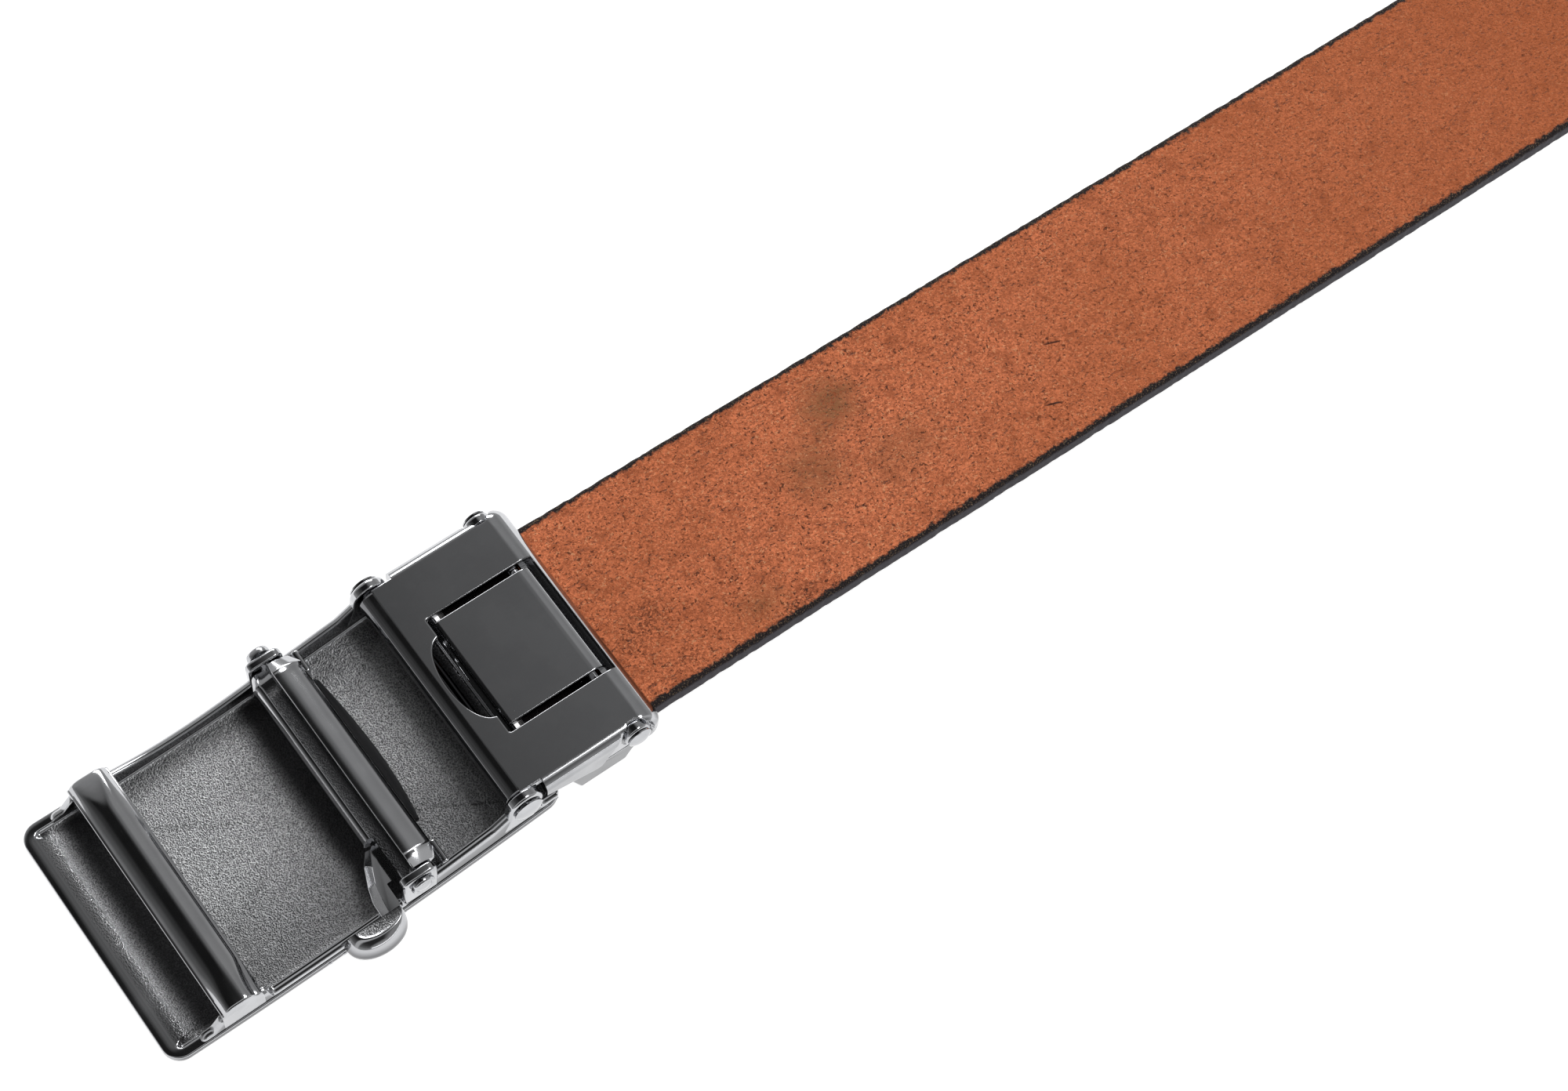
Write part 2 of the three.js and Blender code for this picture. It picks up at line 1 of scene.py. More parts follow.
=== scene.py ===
"""Looks of a ratchet belt seen from its back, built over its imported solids.

Lengths are in millimetres in the belt's own frame. X = 0 and Y = 0 lie on the axis and the middle of
the hinge pin. X runs along the belt to the strap's tip, the release lever is on the -Y side, and Z is
up from the surface that the belt lies on. Every surface is a grid of points worked out at once.
"""

from __future__ import annotations

import logging
import math
from dataclasses import dataclass, field, replace
from enum import Enum

import bmesh
import bpy
import numpy as np
from mathutils import Matrix, Vector

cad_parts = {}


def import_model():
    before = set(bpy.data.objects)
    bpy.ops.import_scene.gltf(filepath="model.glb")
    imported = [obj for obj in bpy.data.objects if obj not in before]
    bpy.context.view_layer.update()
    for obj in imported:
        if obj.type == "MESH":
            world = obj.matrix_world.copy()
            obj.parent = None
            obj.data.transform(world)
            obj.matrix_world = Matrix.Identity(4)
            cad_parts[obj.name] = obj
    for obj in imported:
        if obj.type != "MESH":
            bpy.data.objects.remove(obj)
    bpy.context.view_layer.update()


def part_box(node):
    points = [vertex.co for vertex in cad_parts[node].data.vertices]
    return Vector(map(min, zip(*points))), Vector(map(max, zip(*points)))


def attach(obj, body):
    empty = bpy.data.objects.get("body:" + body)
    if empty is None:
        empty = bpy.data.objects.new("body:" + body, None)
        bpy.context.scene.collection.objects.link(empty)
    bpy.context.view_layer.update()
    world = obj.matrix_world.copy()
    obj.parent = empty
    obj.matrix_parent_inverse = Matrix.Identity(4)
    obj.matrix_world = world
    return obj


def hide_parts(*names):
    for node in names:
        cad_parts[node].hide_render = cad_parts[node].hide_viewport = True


Array = np.ndarray
Material = bpy.types.Material
Socket = bpy.types.NodeSocket
Pair = tuple[float, float]
Triple = tuple[float, float, float]
Colour = tuple[float, float, float, float]

MM_PER_M = 1000
log = logging.getLogger("ratchet_belt")


class Axis(Enum):
    """The direction that an outline is carried in; the outline lies in the other two."""

    ACROSS = 1
    UP = 2


class Body(Enum):
    """The moving bodies of the belt."""

    STRAP = "strap_and_clamp"
    BUCKLE = "buckle"
    PAWL = "pawl"
    FLAP = "flap"


class Side(Enum):
    """The two long sides of the belt."""

    FAR = 1
    NEAR = -1


# ---- shapes ----


@dataclass
class Surface:
    """A closed surface.

    Points are in millimetres, quads join four points each, and caps are flat faces of many points.
    Point by point, grain says how much of the rough finish shows, and shade how much painted shade darkens the metal's
    colour.
    """

    points: Array
    quads: Array
    caps: list[list[int]] = field(default_factory=list)
    grain: Array | float = 0.0
    shade: Array | float = 0.0

    def __post_init__(self) -> None:
        """Spreads the grain and the shade over the points."""
        self.grain = np.broadcast_to(np.ravel(self.grain), (len(self.points),))
        self.shade = np.broadcast_to(np.ravel(self.shade), (len(self.points),))

    def with_shade(self, shade: Array | float) -> Surface:
        """Returns the same surface with this shade at its points."""
        return replace(self, shade=shade)

    def with_grain(self, grain: Array | float) -> Surface:
        """Returns the same surface with this grain at its points."""
        return replace(self, grain=grain)


def joined(*surfaces: Surface) -> Surface:
    """Puts several closed surfaces into one piece.

    Args:
        surfaces: the surfaces, each closed by itself.

    Returns:
        One surface that holds them all.
    """
    starts = np.cumsum([0] + [len(s.points) for s in surfaces[:-1]])
    return Surface(
        np.vstack([s.points for s in surfaces]),
        np.vstack([s.quads + start for s, start in zip(surfaces, starts)]),
        [[i + int(start) for i in cap] for s, start in zip(surfaces, starts) for cap in s.caps],
        np.concatenate([s.grain for s in surfaces]),
        np.concatenate([s.shade for s in surfaces]),
    )


def grid(points: Array, rows_close: bool = False, capped: bool = True) -> Surface:
    """Joins a grid of points, whose columns close on themselves, into a surface.

    Args:
        points: rows by columns by three.
        rows_close: whether the last row joins the first, as on a ring.
        capped: whether the first and last rows are closed with flat faces.

    Returns:
        The surface.
    """
    rows, columns = points.shape[:2]
    index = np.arange(rows * columns).reshape(rows, columns)
    around = np.hstack([index, index[:, :1]])
    if rows_close:
        around = np.vstack([around, around[:1]])
    quads = np.stack([around[:-1, :-1], around[:-1, 1:], around[1:, 1:], around[1:, :-1]], -1).reshape(-1, 4)
    caps = [index[0, ::-1].tolist(), index[-1].tolist()] if capped and not rows_close else []
    return Surface(points.reshape(-1, 3), quads, caps)


def smooth_step(value: Array | float, low: float, high: float) -> Array:
    """Rises from 0 at low to 1 at high: 3t^2 - 2t^3 of the share t of the way."""
    share = np.clip((np.asarray(value, float) - low) / (high - low), 0, 1)
    return share * share * (3 - 2 * share)


def arc(centre: Pair, radius: float, start: float, end: float, steps: int) -> Array:
    """Points on an arc: the centre plus the radius times (cosine, sine) of angles in degrees.

    Args:
        centre: the arc's centre.
        radius: its radius.
        start: first angle.
        end: last angle.
        steps: how many spans it is cut into.

    Returns:
        steps + 1 points.
    """
    angle = np.radians(np.linspace(start, end, steps + 1))
    return np.stack([centre[0] + radius * np.cos(angle), centre[1] + radius * np.sin(angle)], -1)


def stretch(x: Pair, y: Pair, count: int) -> Array:
    """Points at even steps along a straight line, without its first one.

    Args:
        x: its first and last X.
        y: its first and last Y.
        count: how many points.

    Returns:
        The points.
    """
    return np.stack([np.linspace(*x, count + 1)[1:], np.linspace(*y, count + 1)[1:]], -1)


def rounded(corners: Array, radius: Array | float, steps: int = 6) -> Array:
    """Rounds the corners of a closed outline.

    At each corner the two sides are cut back by radius / tan(half the angle between them), and the
    cuts are joined by an arc, which turns evenly from one side's normal to the other's.

    Args:
        corners: corner points in order.
        radius: one radius, or one for each corner.
        steps: spans of each arc.

    Returns:
        The points of the rounded outline.
    """
    corners = np.asarray(corners, float)
    radius = np.broadcast_to(np.asarray(radius, float), (len(corners),))[:, None]
    back, ahead = np.roll(corners, 1, 0) - corners, np.roll(corners, -1, 0) - corners
    back /= np.linalg.norm(back, axis=1, keepdims=True)
    ahead /= np.linalg.norm(ahead, axis=1, keepdims=True)
    half = np.arccos(np.clip((back * ahead).sum(1, keepdims=True), -0.999999, 0.999999)) / 2
    middle = back + ahead
    middle /= np.linalg.norm(middle, axis=1, keepdims=True)
    centre = corners + middle * radius / np.sin(half)
    first = corners + back * radius / np.tan(half) - centre
    last = corners + ahead * radius / np.tan(half) - centre
    turn = np.pi - 2 * half
    share = np.linspace(0, 1, steps + 1)[None, :, None]
    first, last, turn = first[:, None], last[:, None], turn[:, None]
    spread = np.sin((1 - share) * turn) * first + np.sin(share * turn) * last
    return (centre[:, None] + spread / np.sin(turn)).reshape(-1, 2)


def inset(outline: Array, amount: Array | float) -> Array:
    """Moves a closed, counter-clockwise outline inwards.

    Each point moves along (n1 + n2) / (1 + n1.n2), where n1 and n2 are the inward normals of the
    sides that meet there, so that every side moves by the amount.

    Args:
        outline: the points.
        amount: how far, one number or one for each point.

    Returns:
        The moved points.
    """
    side = np.roll(outline, -1, 0) - outline
    side /= np.maximum(np.linalg.norm(side, axis=1, keepdims=True), 1e-9)
    after = np.stack([-side[:, 1], side[:, 0]], -1)
    before = np.roll(after, 1, 0)
    bend = np.maximum(1 + (after * before).sum(1, keepdims=True), 0.4)
    amount = np.broadcast_to(np.asarray(amount, float), (len(outline),))
    return outline + (after + before) / bend * amount[:, None]


def respaced(outline: Array, count: int) -> Array:
    """Spaces the points of a closed outline evenly.

    Args:
        outline: its points.
        count: how many points the result has.

    Returns:
        That many points, at even steps along the outline.
    """
    closed = np.vstack([outline, outline[:1]])
    run = np.concatenate([[0], np.cumsum(np.linalg.norm(np.diff(closed, axis=0), axis=1))])
    at = np.linspace(0, run[-1], count, endpoint=False)
    return np.stack([np.interp(at, run, closed[:, 0]), np.interp(at, run, closed[:, 1])], -1)


def carried(outlines: Array, levels: Array, axis: Axis) -> Array:
    """Stands flat outlines at their levels along an axis.

    Args:
        outlines: rows by columns by two, in the plane's own order: (X, Z) or (X, Y).
        levels: one level for each row, or one for each point.
        axis: the axis that the levels run along.

    Returns:
        Rows by columns by three.
    """
    level = np.broadcast_to(np.asarray(levels, float).reshape(len(outlines), -1), outlines.shape[:2])
    parts = [outlines[..., 0], outlines[..., 1]]
    parts.insert(axis.value, level)
    return np.stack(parts, -1)


def prism(outline: Array, axis: Axis, low: float, high: float, round_low: float, round_high: float,
          steps: int = 4) -> Surface:
    """A plate of one outline, with rounded edges.

    At angle t of an edge the outline is inset by r(1 - sin t) and stands r(1 - cos t) inside the end.
    A further row just inside each edge keeps the shading of the flat faces flat.

    Args:
        outline: closed and counter-clockwise.
        axis: the direction of its thickness.
        low: where it starts.
        high: where it ends.
        round_low: the rounding at its start.
        round_high: the rounding at its end.
        steps: spans of each rounding.

    Returns:
        The closed plate.
    """
    angle = np.linspace(0, np.pi / 2, steps + 1)
    flat = 0.15
    insets = np.concatenate([[round_low + flat], round_low * (1 - np.sin(angle)), [0, 0],
                             round_high * (1 - np.sin(angle[::-1])), [round_high + flat]])
    levels = np.concatenate([[low], low + round_low * (1 - np.cos(angle)),
                             [low + round_low + flat, high - round_high - flat],
                             high - round_high * (1 - np.cos(angle[::-1])), [high]])
    return grid(carried(np.stack([inset(outline, i) for i in insets]), levels, axis))


def turned(profile: Array, centre: Pair, sides: int = 48) -> Surface:
    """Turns a profile about an axis along Y, as (x + r cos t, y, z + r sin t).

    Args:
        profile: rows of a radius and a place along Y.
        centre: the axis, as its X and Z.
        sides: how many steps the turn is cut into.

    Returns:
        The closed, turned surface.
    """
    angle = np.linspace(0, 2 * np.pi, sides, endpoint=False)
    ring = np.stack([np.cos(angle), np.sin(angle)], -1)[None] * profile[:, :1, None]
    return grid(carried(ring + np.asarray(centre), profile[:, 1], Axis.ACROSS))


def wandering(x: Array, y: Array, size: float, seed: int) -> Array:
    """A smooth random height between about -1 and 1: a sum of plane waves in random directions.

    Args:
        x: places along the belt.
        y: places across it.
        size: the length of a typical wave, in millimetres.
        seed: which random waves.

    Returns:
        The height at each place.
    """
    waves, evening = 24, 5
    source = np.random.default_rng(seed)
    heading = source.uniform(0, 2 * np.pi, waves)
    wave = 2 * np.pi / (size * source.uniform(0.6, 1.6, waves))
    start = source.uniform(0, 2 * np.pi, waves)
    shape = (waves,) + (1,) * np.ndim(x)
    along = x * np.cos(heading).reshape(shape) + y * np.sin(heading).reshape(shape)
    return np.sin(along * wave.reshape(shape) + start.reshape(shape)).sum(0) / evening


# ---- finishes ----


class NodeSheet:
    """A node tree whose nodes are added as they are asked for."""

    def __init__(self, tree: bpy.types.NodeTree) -> None:
        """Takes the tree."""
        self.tree = tree

    def put(self, socket: Socket, value: object) -> None:
        """Links a value that is a socket to this one, and sets any other value here.

        Args:
            socket: the input.
            value: a socket, or a plain value.
        """
        if isinstance(value, Socket):
            self.tree.links.new(value, socket)
        else:
            socket.default_value = value

    def node(self, kind: str, inputs: dict[str | int, object] | None = None,
             **settings: object) -> bpy.types.Node:
        """Adds a node.

        Args:
            kind: Blender's name of the node.
            inputs: values or sockets for its inputs.
            settings: its own properties.

        Returns:
            The node.
        """
        made = self.tree.nodes.new(kind)
        for key, value in settings.items():
            setattr(made, key, value)
        for key, value in (inputs or {}).items():
            self.put(made.inputs[key], value)
        return made

    def spread(self, value: Socket, low: float, high: float, to_low: float = 0.0,
               to_high: float = 1.0) -> Socket:
        """Maps low..high to to_low..to_high, held at both ends."""
        return self.node("ShaderNodeMapRange", {
            "Value": value, "From Min": low, "From Max": high, "To Min": to_low, "To Max": to_high}).outputs[0]

    def sum(self, operation: str, first: object, second: object) -> Socket:
        """One arithmetic step on two values."""
        return self.node("ShaderNodeMath", {0: first, 1: second}, operation=operation).outputs[0]


class FinishSheet(NodeSheet):
    """The nodes of one finish."""

    def __init__(self, name: str) -> None:
        """Starts a material with one surface shader and the object's own coordinates.

        Args:
            name: the material's name.
        """
        self.material = bpy.data.materials.new(name)
        self.material.use_nodes = True
        super().__init__(self.material.node_tree)
        self.shader = self.tree.nodes["Principled BSDF"]
        self.place = self.tree.nodes.new("ShaderNodeTexCoord").outputs["Object"]

    def stretched(self, scale: Triple, turn: float = 0.0) -> Socket:
        """The object's coordinates, scaled, and turned in degrees about Z."""
        return self.node("ShaderNodeMapping", {
            "Vector": self.place, "Scale": scale, "Rotation": (0, 0, math.radians(turn))}).outputs[0]

    def noise(self, scale: float, detail: float = 3, rough: float = 0.5, place: Socket | None = None) -> Socket:
        """Cloudy noise; scale is in spots to the metre."""
        return self.node("ShaderNodeTexNoise", {
            "Vector": place or self.place, "Scale": scale, "Detail": detail, "Roughness": rough}).outputs["Fac"]

    def cells(self, scale: float, output: str = "Distance") -> Socket:
        """Distance to the nearest of many scattered points, or its colour; scale is in points to the metre."""
        return self.node("ShaderNodeTexVoronoi", {"Vector": self.place, "Scale": scale}).outputs[output]

    def mixed(self, share: object, first: object, second: object) -> Socket:
        """Lays one colour over another.

        Args:
            share: how much of the second shows.
            first: the colour below.
            second: the colour on top.

        Returns:
            The mixed colour.
        """
        made = self.node("ShaderNodeMix", data_type="RGBA")
        for place, value in ((0, share), (6, first), (7, second)):
            self.put(made.inputs[place], value)
        return made.outputs[2]

    def bump(self, height: Socket, strength: object, distance: float, under: Socket | None = None) -> Socket:
        """Bends the surface's direction with a height.

        Args:
            height: the height, from 0 to 1.
            strength: how much of it shows.
            distance: what a height of 1 stands for, in metres.
            under: another bump that this one lies on.

        Returns:
            The bumped normal.
        """
        inputs = {"Height": height, "Strength": strength, "Distance": distance}
        if under is not None:
            inputs["Normal"] = under
        return self.node("ShaderNodeBump", inputs).outputs[0]

    def value_of(self, name: str) -> Socket:
        """A value that the piece carries point by point."""
        return self.node("ShaderNodeAttribute", attribute_name=name).outputs["Fac"]

    def near(self, place: Pair, size: Pair, turn: float, ragged: float, origin: Vector) -> Socket:
        """A soft spot on the belt: 1 at its middle and 0 outside an oval with a ragged edge.

        Args:
            place: its middle in millimetres along and across the belt.
            size: its half lengths in millimetres.
            turn: its turn in degrees.
            ragged: how uneven its edge is.
            origin: the belt frame's origin in metres.

        Returns:
            The spot's value.
        """
        middle = (origin.x + place[0] / MM_PER_M, origin.y + place[1] / MM_PER_M, 0)
        oval = self.node("ShaderNodeVectorMath", {0: self.place, 1: middle}, operation="SUBTRACT").outputs[0]
        oval = self.node("ShaderNodeMapping", {
            "Vector": oval, "Rotation": (0, 0, math.radians(-turn)), "Scale": (MM_PER_M, MM_PER_M, 0)}).outputs[0]
        oval = self.node("ShaderNodeVectorMath", {0: oval, 1: (1 / size[0], 1 / size[1], 0)},
                         operation="MULTIPLY").outputs[0]
        far = self.node("ShaderNodeVectorMath", {0: oval}, operation="LENGTH").outputs["Value"]
        uneven = self.sum("MULTIPLY", self.sum("SUBTRACT", self.noise(420, 4, 0.65), 0.5), ragged)
        return self.spread(self.sum("ADD", far, uneven), 1.0, 0.25)

    def finished(self, colour: object, metal: float, roughness: object, normal: Socket | None = None) -> Material:
        """Sets the shader's main sockets.

        Args:
            colour: the base colour.
            metal: 1 for metal, 0 for anything else.
            roughness: how rough the surface is.
            normal: the bumped normal, if there is one.

        Returns:
            The material.
        """
        for name, value in (("Base Color", colour), ("Metallic", metal), ("Roughness", roughness)):
            self.put(self.shader.inputs[name], value)
        if normal is not None:
            self.put(self.shader.inputs["Normal"], normal)
        return self.material


@dataclass(frozen=True)
class PolishedGunmetal:
    """Black nickel, buffed to a mirror: faint waves, hairlines, haze and dust, and painted shade where the piece
    carries it.
    """

    colour: Colour = (0.53, 0.535, 0.55, 1)
    haze: Colour = (0.44, 0.445, 0.46, 1)
    painted_shade_colour: Colour = (0.03, 0.03, 0.032, 1)
    smooth: float = 0.07
    hazed: float = 0.16

    def material(self) -> Material:
        """Builds the finish.

        Returns:
            The material.
        """
        sheet = FinishSheet("gunmetal_polished")
        cloud = sheet.noise(130, 5, 0.6)
        dust = sheet.spread(sheet.cells(900), 0.04, 0.015)
        hairline = sheet.noise(900, 2, 0.5, sheet.stretched((0.06, 1, 1), 24))
        colour = sheet.mixed(sheet.spread(cloud, 0.42, 0.68), self.colour, self.haze)
        # painted shade: the colour goes towards near-black where the piece's shade value is high
        colour = sheet.mixed(sheet.value_of("shade"), colour, self.painted_shade_colour)
        rough = sheet.spread(cloud, 0.35, 0.72, self.smooth, self.hazed)
        rough = sheet.sum("ADD", rough, sheet.sum("MULTIPLY", dust, 0.15))
        waves = sheet.bump(sheet.noise(85, 1, 0.4), 0.5, 0.00003)
        lines = sheet.bump(hairline, 0.06, 0.00003, waves)
        return sheet.finished(colour, 1.0, rough, sheet.bump(dust, 0.1, 0.00005, lines))


@dataclass(frozen=True)
class SandedGunmetal:
    """Black nickel that is pebbled where the piece carries grain, and polished where it doesn't, with painted shade
    where the piece carries it.
    """

    polished: Colour = (0.50, 0.505, 0.52, 1)
    pebbled: Colour = (0.53, 0.533, 0.54, 1)
    pit: Colour = (0.12, 0.12, 0.123, 1)
    painted_shade_colour: Colour = (0.03, 0.03, 0.032, 1)
    pebbles: float = 3400
    depth: float = 0.00016

    def material(self) -> Material:
        """Builds the finish.

        Returns:
            The material.
        """
        sheet = FinishSheet("gunmetal_sanded")
        grain = sheet.value_of("grain")
        coarse = sheet.noise(self.pebbles, 3, 0.62)
        cells = sheet.cells(self.pebbles * 1.25)
        height = sheet.sum("ADD", coarse, sheet.sum("MULTIPLY", cells, 0.7))
        sparkle = sheet.spread(height, 0.55, 1.05)
        patch = sheet.noise(160, 3, 0.5)
        colour = sheet.mixed(grain, self.polished, sheet.mixed(sparkle, self.pit, self.pebbled))
        # painted shade: the colour goes towards near-black where the piece's shade value is high
        colour = sheet.mixed(sheet.value_of("shade"), colour, self.painted_shade_colour)
        rough = sheet.sum("ADD", sheet.spread(patch, 0.3, 0.7, 0.1, 0.17), sheet.sum("MULTIPLY", grain, 0.32))
        waves = sheet.bump(sheet.noise(85, 1, 0.4), 0.5, 0.00004)
        pebbles = sheet.bump(height, sheet.sum("MULTIPLY", grain, 0.9), self.depth, waves)
        return sheet.finished(colour, 1.0, rough, pebbles)


@dataclass(frozen=True)
class BlackSteel:
    """Spring steel, blackened and oiled, with a few rubbed streaks."""

    colour: Colour = (0.018, 0.018, 0.02, 1)
    rubbed: Colour = (0.055, 0.055, 0.06, 1)

    def material(self) -> Material:
        """Builds the finish.

        Returns:
            The material.
        """
        sheet = FinishSheet("steel_black")
        streak = sheet.noise(500, 4, 0.6, sheet.stretched((1, 0.25, 1)))
        colour = sheet.mixed(sheet.spread(streak, 0.55, 0.8), self.colour, self.rubbed)
        rough = sheet.spread(streak, 0.3, 0.7, 0.42, 0.62)
        return sheet.finished(colour, 0.8, rough, sheet.bump(streak, 0.4, 0.00006))


@dataclass(frozen=True)
class FleshLeather:
    """The strap: a napped orange-brown flesh side, painted edges, and a smooth grain side underneath.

    Stains and smudges are soft spots and slits are short cuts. Each has its middle along and across
    the belt, in millimetres. Stains and smudges also have half lengths and a share of full strength,
    and a stain has its turn in degrees before that.
    """

    origin: Vector
    base: Colour = (0.88, 0.26, 0.112, 1)
    deep: Colour = (0.30, 0.072, 0.026, 1)
    pale: Colour = (0.95, 0.44, 0.22, 1)
    pit: Colour = (0.05, 0.015, 0.008, 1)
    brown: Colour = (0.40, 0.10, 0.028, 1)
    stain: Colour = (0.20, 0.105, 0.042, 1)
    # the painted edges' colour, also used as painted shade on the leather under the clamp
    edge_paint_and_clamp_shade: Colour = (0.018, 0.013, 0.014, 1)
    paint_side: Colour = (0.012, 0.008, 0.016, 1)
    crumb: Colour = (0.22, 0.15, 0.09, 1)
    grain_side: Colour = (0.022, 0.014, 0.011, 1)
    stains: tuple[tuple[Pair, Pair, float, float], ...] = (
        ((75.5, 8.5), (7, 6), 20, 0.75), ((67, 1), (8, 7), 65, 0.5),
        ((80, -4), (10, 6), 10, 0.28), ((47, -12.7), (6, 3.5), 0, 0.4))
    smudges: tuple[tuple[Pair, Pair, float], ...] = (
        ((30, -6), (7, 3.5), 0.6), ((52, -15.6), (6, 1.6), 0.8), ((33, -14), (4, 2), 0.5))
    slits: tuple[Pair, ...] = ((104.6, -10.7), (111.2, -2.1))

    def material(self) -> Material:
        """Builds the finish.

        Returns:
            The material.
        """
        sheet = FinishSheet("leather_flesh")
        tuft = sheet.node("ShaderNodeSeparateColor", {0: sheet.cells(3600, "Color")}).outputs[0]
        cloud = sheet.sum("MULTIPLY", sheet.noise(2100, 4, 0.7), 0.66)
        nap = sheet.sum("ADD", sheet.sum("MULTIPLY", tuft, 0.34), cloud)
        fine = sheet.noise(3900, 2, 0.6)
        fibres = sheet.noise(1500, 3, 0.7, sheet.stretched((0.6, 1.5, 1), 55))
        side, under = sheet.value_of("side"), sheet.value_of("under")
        ragged = sheet.spread(sheet.noise(900, 4, 0.7), 0.25, 0.75, -0.55, 0.55)
        edge = sheet.spread(sheet.sum("ADD", sheet.value_of("rim"), ragged), 1.2, 0.8)
        crumbs = sheet.mixed(sheet.spread(fine, 0.56, 0.66, 0, 0.8), self.edge_paint_and_clamp_shade, self.crumb)
        colour = self.flesh(sheet, nap, fibres)
        for share, tone in ((edge, crumbs), (side, self.paint_side), (under, self.grain_side)):
            colour = sheet.mixed(share, colour, tone)
        smooth = sheet.sum("MAXIMUM", side, under)
        rough = sheet.sum("SUBTRACT", sheet.spread(nap, 0.2, 0.8, 0.8, 0.98), sheet.sum("MULTIPLY", smooth, 0.15))
        height = sheet.sum("ADD", nap, sheet.sum("MULTIPLY", fine, 0.5))
        height = sheet.sum("SUBTRACT", height, sheet.spread(fibres, 0.6, 0.75, 0, 0.8))
        strength = sheet.sum("SUBTRACT", 1.0, sheet.sum("MULTIPLY", smooth, 0.93))
        for name, value in (("Specular IOR Level", 0.12), ("Sheen Weight", 0.12), ("Sheen Roughness", 0.5)):
            sheet.shader.inputs[name].default_value = value
        return sheet.finished(colour, 0.0, rough, sheet.bump(height, strength, 0.0003))

    def flesh(self, sheet: FinishSheet, nap: Socket, fibres: Socket) -> Socket:
        """Colours the flesh side, browner towards the tip, with painted shade in near-black where the clamp covers it.

        Args:
            sheet: where the nodes go.
            nap: the height of the nap.
            fibres: where loose fibres lie.

        Returns:
            The colour.
        """
        split = sheet.node("ShaderNodeSeparateXYZ", {0: sheet.place}).outputs[0]
        along = sheet.sum("SUBTRACT", split, self.origin.x)
        colour = sheet.mixed(sheet.spread(nap, 0.22, 0.68), self.deep, self.base)
        # value, where it starts to show, where it shows most, how much it shows there, colour
        for value, low, high, share, tone in (
                (sheet.noise(2000, 2, 0.6), 0.62, 0.655, 0.65, self.pale),
                (sheet.noise(330, 4, 0.6), 0.5, 0.72, 0.6, self.deep),
                (fibres, 0.62, 0.76, 0.85, self.pit),
                (sheet.noise(1700, 2, 0.6), 0.62, 0.655, 0.85, self.pit),
                (sheet.noise(45, 3, 0.5), 0.4, 0.75, 0.3, self.brown),
                (along, 0.085, 0.21, 0.62, self.brown)):
            colour = sheet.mixed(sheet.spread(value, low, high, 0, share), colour, tone)
        for place, size, turn, share in self.stains:
            spot = sheet.near(place, size, turn, 0.9, self.origin)
            shown = sheet.sum("MULTIPLY", sheet.spread(nap, 0.25, 0.6), share)
            colour = sheet.mixed(sheet.sum("MULTIPLY", spot, shown), colour, self.stain)
        for place, size, share in self.smudges:
            spot = sheet.near(place, size, 20, 0.9, self.origin)
            shown = sheet.spread(nap, 0.62, 0.3, 0.05, share)
            colour = sheet.mixed(sheet.sum("MULTIPLY", spot, shown), colour, self.pit)
        for place in self.slits:
            slit = sheet.near(place, (1.9, 0.22), -20, 0.35, self.origin)
            colour = sheet.mixed(sheet.spread(slit, 0.1, 0.5, 0, 0.9), colour, self.pit)
        # painted shade: near-black on the leather under the clamp, where it lies in shadow
        return sheet.mixed(sheet.spread(along, 0.0236, 0.0228), colour, self.edge_paint_and_clamp_shade)


# ---- the workshop that turns surfaces into pieces ----


@dataclass
class Workshop:
    """Makes Blender pieces from surfaces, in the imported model's frame, and lists them in the log."""

    origin: Vector
    polished: Material
    sanded: Material
    black: Material
    leather: Material
    slots: dict[str, str] = field(default_factory=lambda: {
        "gunmetal_polished": "polished_gunmetal", "gunmetal_sanded": "sanded_gunmetal",
        "steel_black": "black_steel", "leather_flesh": "leather"})

    def piece(self, name: str, surface: Surface, body: Body, material: Material,
              stands_for: tuple[str, ...] = (), crease: float = 38,
              values: dict[str, Array] | None = None) -> bpy.types.Object:
        """Makes one piece, sets its finish and lets it ride.

        Args:
            name: the piece's name.
            surface: its closed surface, in millimetres in the belt's frame.
            body: what it moves with.
            material: its finish.
            stands_for: the solids that it is shown for.
            crease: edges sharper than this many degrees stay sharp.
            values: further values point by point, by name.

        Returns:
            The piece.
        """
        weld, sliver = 1.5e-6, 1e-6
        mesh = bpy.data.meshes.new(name)
        points = surface.points / MM_PER_M + np.array(self.origin)
        mesh.from_pydata(points.tolist(), [], surface.quads.tolist() + surface.caps)
        for key, value in {"grain": surface.grain, "shade": surface.shade, **(values or {})}.items():
            layer = mesh.attributes.new(key, "FLOAT", "POINT")
            layer.data.foreach_set("value", np.ascontiguousarray(value, np.float32))
        shape = bmesh.new()
        shape.from_mesh(mesh)
        bmesh.ops.remove_doubles(shape, verts=shape.verts, dist=weld)
        bmesh.ops.dissolve_degenerate(shape, edges=shape.edges, dist=sliver)
        bmesh.ops.recalc_face_normals(shape, faces=shape.faces)
        shape.to_mesh(mesh)
        shape.free()
        mesh.polygons.foreach_set("use_smooth", np.ones(len(mesh.polygons), bool))
        mesh.set_sharp_from_angle(angle=math.radians(crease))
        mesh.materials.append(material)
        made = bpy.data.objects.new(name, mesh)
        bpy.context.scene.collection.objects.link(made)
        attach(made, body.value)
        if stands_for:
            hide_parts(*stands_for)
        log.info("%s: %d points, %d faces, with %s", name, len(mesh.vertices), len(mesh.polygons), body.value)
        return made


# ---- the belt's own sub-assemblies ----


